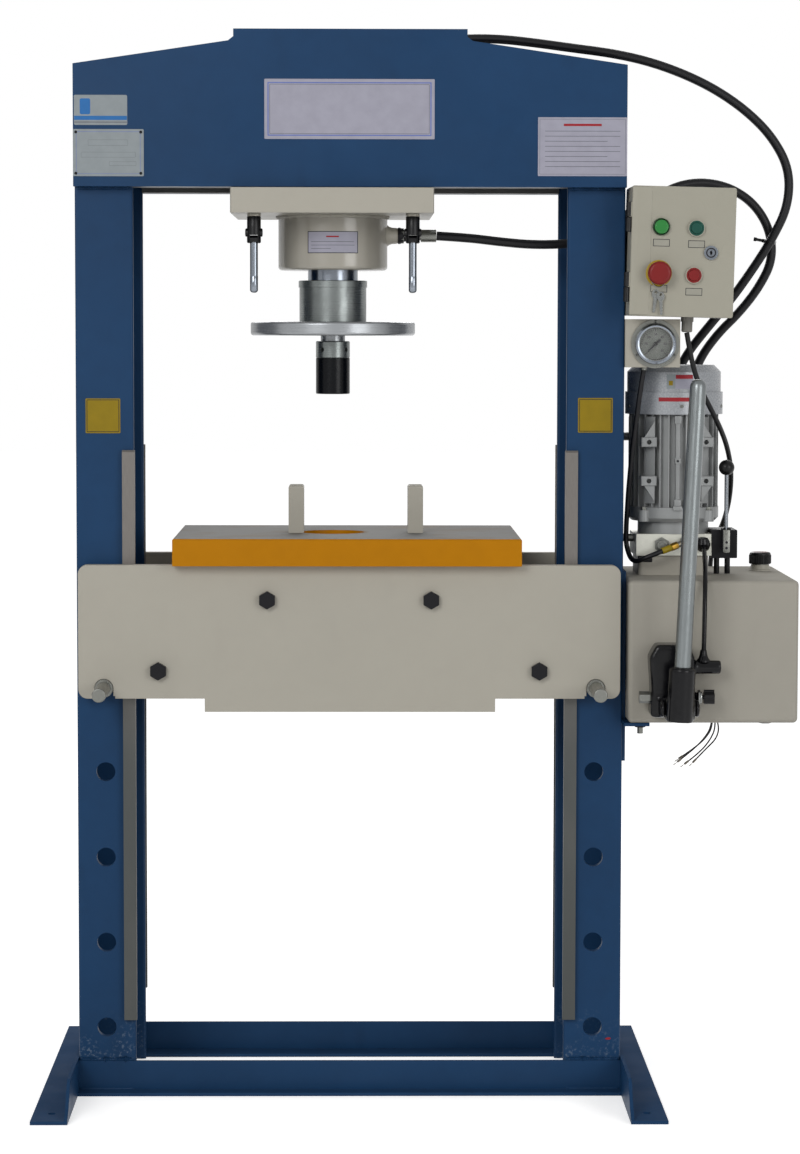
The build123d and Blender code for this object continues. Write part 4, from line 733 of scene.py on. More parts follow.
# Hoses and cables
hose_radius = 8.0
gauge_hose_radius = 4.4
mains_radius = 4.5
core_radius = 1.4
pressure_hose_route = [
    (5, 0, 1792), (66, 0, 1814), (129, 0, 1833), (194, 0, 1843), (260, 0, 1843),
    (325, 0, 1836), (391, 0, 1827), (456, 1, 1819), (520, 4, 1806), (583, 8, 1785),
    (643, 12, 1757), (699, 19, 1720), (746, 26, 1675), (778, 31, 1618), (777, 36, 1553),
    (750, 43, 1495), (716, 53, 1440), (680, 69, 1387), (641, 87, 1338), (603, 102, 1288),
    (577, 107, 1230), (564, 103, 1170), (558, 98, 1110), (556, 95, 1055), (556, 95, 1002),
]
return_hose_route = [
    (151.8, 0, 1498), (207, 0, 1495), (263, 1, 1488), (319, 3, 1483), (375, 6, 1484),
    (430, 9, 1490), (481, 17, 1511), (521, 30, 1549), (563, 45, 1583), (616, 53, 1597),
    (671, 58, 1589), (718, 59, 1560), (748, 60, 1513), (754, 65, 1458), (731, 77, 1409),
    (698, 88, 1365), (660, 103, 1326), (629, 113, 1281), (612, 114, 1228), (604, 111, 1172),
    (600, 105, 1117), (598, 98, 1058), (598, 95, 1002),
]
gauge_hose_route = [
    (509, -118, 1264), (503, -117, 1226), (499, -114, 1191), (495, -108, 1156), (491, -101, 1121),
    (489, -92, 1087), (487, -81, 1053), (486, -70, 1018), (485, -59, 984), (486, -53, 951),
    (496, -78, 925), (520.4, -106.3, 938.6), (552, -94, 950),
]
mains_cable_route = [
    (581.2, -140, 1329), (590, -137, 1278), (608, -126, 1230), (632, -102, 1189), (651, -65, 1157),
    (666, -24, 1127), (677, 8, 1087), (679, 37, 1042), (674, 67, 999), (665, 106, 965),
    (659, 152, 937), (659, 186, 895), (662, 196, 842), (665, 195, 789), (667, 193, 736),
    (668, 191, 683), (668, 188, 630),
]
core_routes = [
    [(666, 186, 629.4), (665, 186, 606), (652, 185, 584), (630, 184, 562), (608, 183, 545)],
    [(670, 186, 629.4), (673, 187, 606), (664, 189, 582), (645, 190, 558), (622, 191, 540)],
    [(670, 190, 629.4), (680, 193, 608), (676, 195, 583), (656, 196, 563), (637, 196, 543)],
    [(666, 190, 629.4), (668, 193, 605), (655, 194, 583), (635, 195, 565), (612, 196, 549)],
]


def spline(name, route, radius, finish):
    """A NURBS curve that has the route's points as its control points."""
    data = bpy.data.curves.new(name, "CURVE")
    data.dimensions = "3D"
    line = data.splines.new("NURBS")
    line.points.add(len(route) - 1)
    for point, place in zip(line.points, route):
        point.co = (*[v * MM for v in place], 1)
    line.order_u = 3
    line.use_endpoint_u = True
    line.resolution_u = 10
    if radius:
        data.bevel_depth = radius * MM
        data.bevel_resolution = 5
        data.use_fill_caps = True
        data.materials.append(finish)
    piece = bpy.data.objects.new(name, data)
    scene.collection.objects.link(piece)
    return piece


def spline_points(route):
    """Points along the route's smooth spline, in metres."""
    guide = spline("guide", route, 0, None)
    mesh = bpy.data.meshes.new_from_object(guide)
    points = [v.co.copy() for v in mesh.vertices]
    bpy.data.meshes.remove(mesh)
    bpy.data.objects.remove(guide)
    return points


def run_length(points):
    return sum((b - a).length for a, b in zip(points, points[1:]))


def hose(name, route, node):
    """A mesh tube along the route between the carriage and the frame."""
    path = spline_points(route)
    piece = formed(name, rubber, None, tube, [p / MM for p in path], hose_radius, 20, sharp=50)
    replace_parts(piece, node)
    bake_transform(piece)
    return piece


def cable(name, route, radius, finish, node):
    """A cord that keeps still with the frame."""
    piece = spline(name, route, radius, finish)
    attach(piece, "frame")
    length = run_length(spline_points(route))
    if node:
        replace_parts(piece, node)
    return piece


hose("pressure_hose_tube", pressure_hose_route, "pressure_hose")
hose("return_hose_tube", return_hose_route, "return_hose")
cable("gauge_hose_line", gauge_hose_route, gauge_hose_radius, rubber, "gauge_hose")
cable("mains_cable_line", mains_cable_route, mains_radius, cable_sheath, "mains_cable")


def fork_terminal(name, route):
    """A crimped fork on the end of a core."""
    end = Vector(route[-1])
    heading = (end - Vector(route[-2])).normalized()
    place = basis(end, heading, (0, 1, 0))
    shape = bmesh.new()
    lathe(shape, place, [(-1.5, 0), (-1.5, 1.9), (0, 2.2), (7.0, 2.2), (8.0, 1.6), (8.0, 0)], 16)
    outline = [(-1.4, 7.5), (1.4, 7.5), (1.6, 10.5), (3.0, 12.5), (3.0, 17), (1.5, 17), (1.5, 13.5),
               (0.8, 12.4), (-0.8, 12.4), (-1.5, 13.5), (-1.5, 17), (-3.0, 17), (-3.0, 12.5), (-1.6, 10.5)]
    flat = place @ Matrix.Rotation(math.pi / 2, 4, "X")
    prism(shape, flat, outline, -0.4, 0.4)
    return keep(name, shape, copper)


for number, route in enumerate(core_routes, 1):
    tip = fork_terminal(f"core_terminal_{number}", route)
    cable(f"supply_core_{number}", route, core_radius, core_sheath, "supply_cores")


# Crown plates' labels, all bare
def plate(name, left, right, low, high, y, finish, thick=0.8, radius=1.0, bevel=0.2):
    """A thin plate on a face that looks to the front."""
    place = front((left + right) / 2, (low + high) / 2, y)
    outline = rounded_outline(right - left, high - low, radius)
    return formed(name, finish, "frame", prism, place, outline, 0, thick, bevel, 1)


def outline_band(name, left, right, low, high, y, width, finish, thick=0.12, radius=1.0):
    """A printed line that frames a field."""
    place = front((left + right) / 2, (low + high) / 2, y)
    outer = rounded_outline(right - left, high - low, radius)
    inner = rounded_outline(right - left - 2 * width, high - low - 2 * width, max(0.1, radius - width))
    return formed(name, finish, "frame", band, place, outer, inner, -0.1, thick)


title_face = crown_front - 0.9
emblem_face = crown_front - 0.5
data_face = crown_front - 1.2
notice_face = crown_front - 0.5
plate("title_plate", -147, 144, 1658, 1760, crown_front, white_stock, 0.9, 1.5)
outline_band("title_border_outer", -141.6, 138.6, 1663.4, 1754.6, title_face, 1.9, line_ink)
outline_band("title_border_inner", -138.2, 135.2, 1666.8, 1751.2, title_face, 0.7, grey_ink)
plate("emblem_place", -472, -381, 1681, 1732, crown_front, pale_stock, 0.5, 2.5)
plate("emblem_block", -462, -444, 1699, 1726, emblem_face, blue_ink, 0.12, 3.0, bevel=0)
plate("emblem_stripe", -471.5, -381.5, 1689.5, 1696.5, emblem_face, blue_ink, 0.12, 0.1, bevel=0)
plate("emblem_stripe_low", -471.5, -381.5, 1685.0, 1686.6, emblem_face, grey_ink, 0.12, 0.1, bevel=0)
plate("data_plate", -474, -353, 1594, 1674, crown_front, pale_stock, 1.2, 2.0)
outline_band("data_plate_border", -468.5, -358.5, 1598, 1670, data_face, 0.6, line_ink)
for name, left, right, low, high in (("top", -448, -380, 1646, 1656), ("middle", -460, -367, 1626, 1635),
                                     ("low", -412, -366, 1612, 1619)):
    outline_band(f"data_plate_field_{name}", left, right, low, high, data_face, 0.35, grey_ink)
for rivet_x in (-469, -358):
    for rivet_z in (1599, 1669):
        turned_piece(f"data_plate_rivet_{-rivet_x}_{rivet_z}", front(rivet_x, rivet_z, data_face),
                     [(0, 2.6), (0.9, 2.2), (1.6, 1.2), (1.8, 0)], black_oxide, count=16)
plate("notice_plate", 321, 474, 1596, 1696, crown_front, white_stock, 0.5, 1.0)
outline_band("notice_border", 324, 471, 1599, 1693, notice_face, 0.5, grey_ink)
plate("notice_heading", 365, 430, 1681, 1685, notice_face, red_ink, 0.12, 0.1, bevel=0)
for row in range(8):
    reach = 462 if row % 3 < 2 else 440
    row_z = 1672 - row * 8.6
    plate(f"notice_rule_{row}", 333, reach, row_z, row_z + 0.9, notice_face, grey_ink, 0.1, 0.05,
          bevel=0)
for side, mark_x, mark_z in (("left", -427, 1184), ("right", 424, 1186)):
    plate(f"yellow_field_{side}", mark_x - 30, mark_x + 30, mark_z - 30, mark_z + 30, post_front, yellow_ink,
          0.5, 1.5)
    outline_band(f"yellow_field_line_{side}", mark_x - 28, mark_x + 28, mark_z - 28, mark_z + 28,
                 post_front - 0.5, 1.1, dark_ink_and_shade)

# Welds: crown to posts, posts to cross angles, feet, cross angles' legs
for side, sign in (("left", -1), ("right", 1)):
    ends = sorted((sign * (inner_x + 4), sign * (outer_x - 2)))
    for back in (-1, 1):
        where = "front" if back < 0 else "rear"
        face_y = back * (-post_front)
        line = [(x, face_y + back * 1.5, crown_low - 1.2) for x in ends]
        bead(f"crown_weld_{side}_{where}", line, 3.4, blue, "frame")
    bead(f"base_weld_{side}", [(ends[0], post_front - 1.0, 57), (ends[1], post_front - 1.0, 57)], 4.2, blue,
         "frame", rough=0.7)
    bead(f"base_weld_rear_{side}", [(ends[0], 188, 57), (ends[1], 188, 57)], 3.0, blue, "frame")
    foot_x = sign * (outer_x + 6.5)
    bead(f"foot_weld_{side}", [(foot_x, -316, 7), (foot_x, 316, 7)], 2.2, blue, "frame", pitch=4.0)
    bead(f"angle_weld_{side}", [(ends[0], -146.8, 6.6), (ends[1], -146.8, 6.6)], 2.2, blue, "frame")

# Dab of red paint on the right post
red_dab = seen_at(607.6, 1038.3, post_front)
formed("red_paint_dab", red_ink, "frame", prism, front(red_dab.x, red_dab.z, post_front),
       [(-5, -0.6), (-2, -2.2), (3, -2.4), (6, 0.2), (3, 2.0), (-1, 1.4)], 0, 0.25, 0.1, 1)

# Label on the cylinder, wrapped to its round face
def wrapped(name, left, right, low, high, radius, finish):
    """A thin sheet bent round the cylinder's front."""
    first = math.degrees(math.asin((left - ram[0]) / cylinder_radius)) - 90
    last = math.degrees(math.asin((right - ram[0]) / cylinder_radius)) - 90
    place = basis((*ram, 0), UP)
    profile = [(low, radius - 0.4), (low, radius), (high, radius), (high, radius - 0.4)]
    return formed(name, finish, "carriage", lathe, place, profile, 16, first, last - first)


wrapped("cylinder_label_edge", -74, 13, 1465.5, 1503.5, cylinder_radius + 0.15, dark_ink_and_shade)
wrapped("cylinder_label", -72.8, 11.8, 1466.7, 1502.3, cylinder_radius + 0.3, white_stock)
wrapped("cylinder_label_heading", -42, -20, 1493, 1495.5, cylinder_radius + 0.36, red_ink)
for row, (left, right) in enumerate(((-68, 6), (-68, 7), (-68, -34))):
    low = 1485 - row * 6
    wrapped(f"cylinder_label_rule_{row}", left, right, low, low + 0.9, cylinder_radius + 0.36, grey_ink)

# Weld between the cylinder and the carriage plate
ring_points = [(*around(angle, cylinder_radius + 0.5, ram), 1531) for angle in range(0, 361, 6)]
bead("cylinder_weld", ring_points, 3.6, cream, "carriage", pitch=3.0, rough=0.25)

# Control box: blank label frames and button collars
door_right = Vector((math.cos(box_tilt), 0, -math.sin(box_tilt)))
door_up = Vector((math.sin(box_tilt), 0, math.cos(box_tilt)))


def on_door(across, height, depth=0.0):
    """Local axes on the door's face, with depth towards the front."""
    origin = box_centre + door_right * across + door_up * height + Vector(FRONT) * depth
    return basis(origin, FRONT, door_right)


start_place = (22.0, 40.5)
lamp_place = (-38.0, 41.5)
stop_place = (20.0, -39.5)
estop_place = (-40.0, -37.5)
lock_place = (48.0, -0.5)
for name, place, drop in (("start", start_place, -27), ("lamp", lamp_place, -27), ("stop", stop_place, -28),
                          ("estop", estop_place, -26)):
    spot = on_door(place[0] + 1, place[1] + drop)
    edge = rounded_outline(28.6, 12.6, 0.5, 2)
    field = rounded_outline(26.6, 10.6, 0.2, 2)
    formed(f"label_frame_{name}", dark_ink_and_shade, "door", band, spot, edge, field, 0, 0.15)
    formed(f"label_field_{name}", paper, "door", prism, spot, field, 0, 0.1)
for name, place, finish in (("start", start_place, green_plastic), ("stop", stop_place, red_plastic)):
    turned_piece(f"bezel_{name}", on_door(*place), [(0, 14.4), (1.2, 14.4), (4.0, 13.8), (5.4, 12.6),
                                                    (5.8, 11.2), (5.4, 9.8)], finish, "door")
turned_piece("bezel_lamp", on_door(*lamp_place), [(0, 15.0), (2.5, 14.8), (5.8, 14.0), (6.2, 13.0),
                                                  (5.2, 12.2)], black_plastic, "door")
turned_piece("bezel_estop", on_door(*estop_place), [(0, 22.5), (1.0, 22.5), (1.6, 21.0), (1.6, 14.0)],
             yellow_plastic, "door")

# Hinges: black barrels on the door's edge, and the door's face carried smoothly over their leaves
hinge_line = (-93.5, -3.0)
leaf_thick = 1.5
leaf_reach = 14.0
for place_name, middle in (("high", 57.0), ("low", -62.0)):
    for half_name, low, high, body in (("lower", -25.5, -0.6, "frame"), ("upper", 0.6, 25.5, "door")):
        foot = on_door(hinge_line[0], middle + low, hinge_line[1]).translation
        reach = high - low
        turned_piece(f"hinge_{place_name}_{half_name}", basis(foot, door_up, door_right),
                     [(0, 0), (0, 4.9), (0.6, 5.5), (reach - 0.6, 5.5), (reach, 4.9), (reach, 0)],
                     black_plastic, body, 24)
skin_place = on_door(-88.6, 0) @ Matrix.Rotation(math.pi / 2, 4, "X")
skin_half = 108.5
skin_reach = 34.0
skin_outline = [(0, 0), (0, leaf_thick + 0.5), (0.9, leaf_thick + 1.1), (leaf_reach, leaf_thick + 1.1),
                (skin_reach, 0.15), (skin_reach, 0)]
formed("door_face_edge", cream_box, "door", prism, skin_place, skin_outline, -skin_half, skin_half, sharp=60)

# Cam lock: painted shade as a dark ring round its barrel and a dark keyway
lock_face = on_door(*lock_place, 4.0)
formed("lock_groove_shade", dark_ink_and_shade, "door_lock", band, lock_face, circle(8.6), circle(6.4), 0, 0.3)
shape = bmesh.new()
prism(shape, lock_face, rounded_outline(1.8, 8.0, 0.4, 2), 0, 0.35)
prism(shape, lock_face, circle(2.4, 20), 0, 0.35)
keep("lock_keyway_shade", shape, dark_ink_and_shade, "door_lock")

# Keys: two cut keys on a wire ring that hangs from the emergency stop's neck
key_parts = []
ring_middle = (estop_place[0], estop_place[1] - 6.0)
for number, (across, turn, depth) in enumerate(((-6.0, 5.0, 2.2), (6.0, -4.0, 5.6)), 1):
    top = on_door(ring_middle[0] + across * 0.6, ring_middle[1] - 19.0 - number * 4, depth)
    top = top @ Matrix.Rotation(math.radians(-turn), 4, "Z")
    shape = bmesh.new()
    bow = shifted(top, 0, -6.5)
    outline = [(x * 0.95, y * 1.15) for x, y in circle(7.0, 44)]
    band(shape, bow, outline, [(x, y + 3.4) for x, y in circle(2.6, 44)], -0.9, 0.9)
    prism(shape, top, [(-3.0, -13), (3.0, -13), (3.0, -22), (2.1, -23.5), (2.8, -26), (1.9, -28),
                       (2.7, -30.5), (1.8, -33), (2.4, -35.5), (0.6, -38.5), (-2.0, -37.5), (-2.4, -35)],
          -0.8, 0.8, 0.15, 1)
    key_parts.append(keep(f"key_{number}", shape, nickel, "door"))
shape = bmesh.new()
ring_place = on_door(*ring_middle, 4.0)
loop = [ring_place @ Vector((x, y * 1.15 - 2, 0)) for x, y in circle(13.2, 48)]
tube(shape, loop + loop[:1], 0.8, 8, False)
bmesh.ops.remove_doubles(shape, verts=shape.verts, dist=1e-3)
key_parts.append(keep("key_ring", shape, nickel, "door"))
for piece in key_parts:
    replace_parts(piece, "keys")

# Gauge: dial marks, numbers and flange screws
sweep_start = 225.0
sweep_total = 270.0
dial_steps = 30
marks_reach = 26.0
numbers_reach = 16.5
dial_radius = 28.0
needle_depth = -158.3
needle_lean = 42.0
gauge_flange_radius = 38.6
gauge_flange_front = -154.5


def on_dial(step, reach):
    """Local axes on the dial's face at one of its steps, with x away from the middle."""
    angle = sweep_start - sweep_total * step / dial_steps
    x, z = around(angle, reach, gauge)
    across, rise = around(angle, 1)
    return basis((x, dial_front, z), FRONT, (across, 0, rise))


shape = bmesh.new()
for step in range(dial_steps + 1):
    long_mark = step % 5 == 0
    inner_reach = 21.0 if long_mark else 23.0
    mark = on_dial(step, (inner_reach + marks_reach) / 2)
    prism(shape, mark, rounded_outline(marks_reach - inner_reach, 0.9 if long_mark else 0.45, 0.05, 1), 0,
          0.12)
keep("dial_marks", shape, dark_ink_and_shade)
for step in range(0, dial_steps + 1, 5):
    words = bpy.data.curves.new(f"dial_number_{step}", "FONT")
    words.body = str(step * 2)
    words.size = 5.6 * MM
    words.offset = 0.12 * MM
    words.align_x = "CENTER"
    words.align_y = "CENTER"
    words.extrude = 0.05 * MM
    words.materials.append(dark_ink_and_shade)
    number = bpy.data.objects.new(words.name, words)
    scene.collection.objects.link(number)
    spot = on_dial(step, numbers_reach).translation
    place = front(spot.x, spot.z, dial_front - 0.1)
    place.translation *= MM
    number.matrix_world = place
    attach(number, "frame")
turned_piece("dial_hub", front(*gauge, -158.0), [(0, 3.2), (1.6, 3.0), (2.2, 2.0), (2.4, 0)],
             black_oxide, "needle", 24)
formed("dial_rim_shade", dark_ink_and_shade, "frame", band, front(*gauge, dial_front), circle(dial_radius, 60),
       circle(26.9, 60), -0.1, 0.1)
shape = bmesh.new()
across, rise = around(needle_lean, 1)
counter = basis((gauge[0], needle_depth, gauge[1]), FRONT, (across, 0, rise))
prism(shape, shifted(counter, 7.6, 0), rounded_outline(7.0, 4.2, 1.6, 4), 0, 0.7, 0.2, 1)
prism(shape, shifted(counter, -9.0, 0), rounded_outline(13.0, 1.3, 0.5, 2), 0, 0.5)
keep("needle_weight", shape, dark_ink_and_shade, "needle")
turned_piece("gauge_bezel_ring", front(*gauge, -151.5), [(3, 35.2), (9, 35.6), (13.5, 34.6), (15.6, 31.6),
                                                         (15.0, 29.0), (13.0, 28.2)], chrome, count=64)
for angle in (90, 210, 330):
    place = front(*around(angle, gauge_flange_radius, gauge), gauge_flange_front)
    screw(f"gauge_screw_{angle}", place, 2.6, zinc)

# Motor: smooth corner pads over the fins, rib, lugs' gussets, label places and screws
motor_base = basis((*motor, 0), UP)
pad_radius = 80.2
cover_label_radius = 82.9
cover_ring_radius = 86.0
for side, first, sweep in (("front_right", -61, 14), ("front_left", -133, 14), ("back_right", 12, 50),
                           ("back_left", 118, 50)):
    formed(f"motor_pad_{side}", motor_paint, "frame", lathe, motor_base,
           [(1030, 70), (1030, pad_radius - 1), (1033, pad_radius), (1179, pad_radius),
            (1182, pad_radius - 1), (1182, 70)], 20, first, sweep)
rib_front = motor[1] - 79.5
block_piece("motor_rib", (motor[0] - 3.5, rib_front - 3, 1026), (motor[0] + 3.5, rib_front + 12, 1184),
            motor_paint, 0.8)
for name, low, high, half in (("low", 1026, 1038, 6), ("foot", 1018, 1026, 8), ("top", 1170, 1184, 6),
                              ("middle", 1100, 1110, 5)):
    block_piece(f"motor_rib_boss_{name}", (motor[0] - half, rib_front - 4.5, low),
                (motor[0] + half, rib_front + 10, high), motor_paint, 1.2)
# Painted shade: the rib's hole is a dark disc on its face.
turned_piece("motor_rib_hole_shade", front(motor[0], 1105, rib_front - 4.6), [(0, 2.2), (0.2, 1.2), (0.2, 0)],
             dark_ink_and_shade, count=16)
for side, lug_x in (("left", motor[0] - 50), ("right", motor[0] + 50)):
    for lug_z in (1070, 1138):
        formed(f"motor_lug_{side}_{lug_z}", motor_paint, "frame", band, front(lug_x, lug_z, motor[1] - 79.2),
               rounded_outline(25, 16, 1.5, 10), circle(4.1, 44), 0, 2.6)
    for name, base_z, tip_z in (("low", 1061.5, 1034), ("top", 1146.5, 1176)):
        outline = [(-8, base_z), (10, base_z), (10 if side == "left" else -8, tip_z)]
        formed(f"motor_gusset_{side}_{name}", motor_paint, "frame", prism, front(lug_x, 0, motor[1] - 60),
               outline, 0, 19.5)
for angle in (45, 135, 225, 315):
    ear = basis((*around(angle, 80, motor), 1018), UP)
    shape = bmesh.new()
    prism(shape, ear, hexagon(10), 0, 6, 0.7)
    lathe(shape, ear, [(0, 0), (0, 7.0), (1.2, 7.0), (1.2, 0)], 24)
    keep(f"flange_bolt_{angle}", shape, zinc)


def on_motor(name, left, right, low, high, radius, finish):
    """A thin label bent round the motor's front between two x offsets."""
    first = math.degrees(math.asin(left / radius)) - 90
    last = math.degrees(math.asin(right / radius)) - 90
    profile = [(low, radius - 0.3), (low, radius), (high, radius), (high, radius - 0.3)]
    return formed(name, finish, "frame", lathe, motor_base, profile, 14, first, last - first)


on_motor("cover_label_left", -20, -6, 1231, 1256, cover_label_radius, pale_stock)
on_motor("cover_label_mark", -16.5, -9.5, 1237, 1245, cover_label_radius + 0.1, yellow_ink)
on_motor("cover_label_right", -5.2, 26, 1231, 1256, cover_label_radius, white_stock)
on_motor("cover_label_red", -4.6, 25.4, 1248.5, 1255.4, cover_label_radius + 0.1, red_ink)
on_motor("ring_red_strip", -34, 27, 1209, 1216, cover_ring_radius + 0.35, red_ink)
screw("ring_screw", front(motor[0] + 6, 1200.5, motor[1] - cover_ring_radius), 3.2, zinc)
for angle in (200, 340):
    place = basis((*around(angle, cover_ring_radius, motor), 1200), (*around(angle, 1), 0), UP)
    screw(f"ring_side_screw_{angle}", place, 3.0, zinc)

# Manifold: plug, hose sleeve and swivel, elbow and foot
plug = front(547, 957, manifold_front - 11)
turned_piece("manifold_plug_face", plug, [(0, 9.2), (1.2, 8.6), (1.4, 6.0), (0.4, 5.6), (0.4, 0)], zinc,
             count=32)
hose_tip = Vector((552, -94, 950))
hose_port = Vector((588, -80, 963))
swing = (hose_port - hose_tip).normalized()
along = basis(hose_tip, swing, UP)
reach = (hose_port - hose_tip).length
turned_piece("hose_sleeve", along, [(-8, 3.2), (-8, 5.2), (-7, 5.8), (10, 5.8), (11, 5.2), (11, 3)],
             yellow_sleeve, count=28)
shape = bmesh.new()
prism(shape, along, hexagon(12), 11, 24, 0.8)
lathe(shape, along, [(23, 0), (23, 5.0), (reach - 2, 5.0), (reach, 4.4), (reach + 6, 4.4), (reach + 6, 0)],
      28)
keep("hose_swivel", shape, brass)
elbow_points = [(618, -82, 957), (618, -88, 959), (617, -92, 964), (617, -93, 970)]
formed("pipe_elbow", black_casting, "frame", tube, elbow_points, [12.5, 12.8, 12.0, 9.0], 20)
block_piece("manifold_foot", (506, -66, 926), (531, -50, 939), black_oxide, 1.0)

# Valve lever's clevis plate
formed("lever_clevis", zinc, "valve_handle", prism, front(lever_x, 964, -80), rounded_outline(11.5, 40, 2.0),
       -2.5, 0.5, 0.5)
# Painted shade: the clevis holes are dark discs on the plate.
for hole_z in (952, 962):
    turned_piece(f"lever_clevis_hole_shade_{hole_z}", front(lever_x, hole_z, -80.6),
                 [(0, 2.4), (0.15, 2.2), (0.15, 0)], dark_ink_and_shade, "valve_handle", 16)

# Valve lever's ball, a little fuller than the solid
ball_place = basis((lever_x, -70, 1093), UP)
ball_radius = 13.8
ball_profile = [(-13.0, 0), (-13.0, 4.4)]
for step in range(1, 16):
    reach, height = around(-70 + 160 * step / 15, ball_radius)
    ball_profile.append((height, reach))
ball_profile[-1] = (ball_radius, 0)
turned_piece("lever_ball", ball_place, ball_profile, black_plastic, "valve_handle", 40)

# Filler cap: dark red top and knurled side
filler = (736.0, 60.0)
turned_piece("filler_cap_top", basis((*filler, 936), UP), [(-0.3, 14.6), (0.4, 14.0), (0.5, 0)],
             moulded("cap_red", rgb(92, 26, 28), 0.4), "cap", 40)
shape = bmesh.new()
for n in range(40):
    prism(shape, basis((*around(9 * n, 19, filler), 916), UP), circle(1.0, 6), 0, 15)
keep("filler_cap_knurl", shape, black_plastic, "cap")
turned_piece("filler_boss", basis((*filler, 903), UP), [(0, 21), (2.0, 20.4), (3.0, 18), (10.5, 16.2),
                                                        (11, 15.2)], cream, count=40)

# Cable tie that holds both hoses where they cross
upper_path = [p / MM for p in spline_points(pressure_hose_route)]
lower_path = [p / MM for p in spline_points(return_hose_route)]
tie_pixel = seen_at(765, 240, 50)
upper_at = min(range(1, len(upper_path) - 1), key=lambda n: (upper_path[n] - tie_pixel).length)
lower_at = min(range(1, len(lower_path) - 1), key=lambda n: (lower_path[n] - upper_path[upper_at]).length)
apart = lower_path[lower_at] - upper_path[upper_at]
tie_heading = ((upper_path[upper_at + 1] - upper_path[upper_at - 1]).normalized()
               + (lower_path[lower_at - 1] - lower_path[lower_at + 1]).normalized() * -1).normalized()
tie_place = basis((upper_path[upper_at] + lower_path[lower_at]) / 2, tie_heading, apart)
reach = apart.length / 2
tie_outer = 9.6
tie_inner = 8.4
outer = []
for side in (1, -1):
    for step in range(13):
        outer.append(around(15 * step - 90 * side, tie_outer, (side * reach, 0)))
inner = [(x - math.copysign(1.0, x) * (abs(x) > reach), y * tie_inner / tie_outer) for x, y in outer]
shape = bmesh.new()
band(shape, tie_place, outer, inner, -2.3, 2.3)
prism(shape, shifted(tie_place, 0, -11.5), rounded_outline(7, 6, 1.0, 3), -3.2, 3.2, 0.5, 1)
prism(shape, shifted(tie_place, 0, -13), [(-1.2, 0), (1.2, 0), (-1.0, -13), (-3.4, -13)], -2.6, 2.6, 0.3, 1)
prism(shape, shifted(tie_place, -2.2, -27), rounded_outline(7.5, 5.0, 1.5, 3), -3.4, 3.4, 0.6, 1)
keep("hose_tie", shape, black_plastic)


# Hand pump: sand castings whose corners flow, a conical pipe boss, nickel fittings
def flowing(name, node_name, voxel, passes, finish, body):
    """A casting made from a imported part: its corners flow into each other as a sand mould leaves them."""
    piece = bpy.data.objects.new(name, nodes[node_name].data.copy())
    scene.collection.objects.link(piece)
    skin = piece.modifiers.new("skin", "REMESH")
    skin.mode = "VOXEL"
    skin.voxel_size = voxel * MM
    flow = piece.modifiers.new("flow", "SMOOTH")
    flow.factor = 0.5
    flow.iterations = passes
    mesh = bpy.data.meshes.new_from_object(piece.evaluated_get(bpy.context.evaluated_depsgraph_get()))
    piece.modifiers.clear()
    piece.data = mesh
    mesh.materials.clear()
    mesh.materials.append(finish)
    mesh.shade_smooth()
    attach(piece, body)
    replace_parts(piece, node_name)
    return piece


flowing("pump_casting", "hand_pump", 2.0, 24, black_casting, "frame")
flowing("socket_casting", "pump_socket", 1.8, 7, black_casting, "pump_lever")
pump_x = outer_x + 88.0
pump_front = -224.5
handle_foot = Vector((pump_x + 2, -290, 762))
handle_lean = (Vector((pump_x + 25, -290, 1251)) - handle_foot).normalized()
handle_place = basis(handle_foot, handle_lean, RIGHT)
bar_profile = [(-22, 0), (-22, 13.2), (0, 13.2), (0.5, 14.0), (438, 14.0), (462, 13.7), (474, 13.9),
               (480, 13.2), (484.5, 11.4), (487.5, 8.2), (489.2, 4.2), (489.5, 0)]
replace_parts(turned_piece("pump_bar", handle_place, bar_profile, bar_steel, "pump_lever"), "pump_handle")
lip_profile = [(-1.5, 14.4), (-1.5, 19), (0.8, 18.4), (1.6, 16.6), (0.9, 14.6), (-1.5, 14.4)]
turned_piece("socket_lip", handle_place, lip_profile, black_casting, "pump_lever", 40)
turned_piece("pipe_boss", basis((outer_x + 132, pump_front, 766), UP),
             [(0, 11.8), (3, 11.6), (7, 8.6), (13, 6.4), (20, 5.6), (21, 4.2)], black_casting, count=32)
turned_piece("release_collar", basis((pump_x + 34.6, pump_front, 705), RIGHT, UP),
             [(0, 8.8), (0, 12.0), (0.8, 12.8), (3.4, 12.8), (4.2, 11.6), (6.6, 10.8), (7.2, 9.4),
              (7.2, 4.1)], nickel, count=32)

# Nose collar, turned so that its tommy holes stand as they were left
axis = Vector((*ram, 0)) * MM
collar_turn = Matrix.Rotation(math.radians(52), 4, "Z")
turn = Matrix.Translation(axis) @ collar_turn @ Matrix.Translation(-axis)
collar_mesh = nodes["nose_collar"].data.copy()
collar_mesh.transform(turn)
collar = bpy.data.objects.new("nose_collar_turned", collar_mesh)
scene.collection.objects.link(collar)
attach(collar, "nose")
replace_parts(collar, "nose_collar")

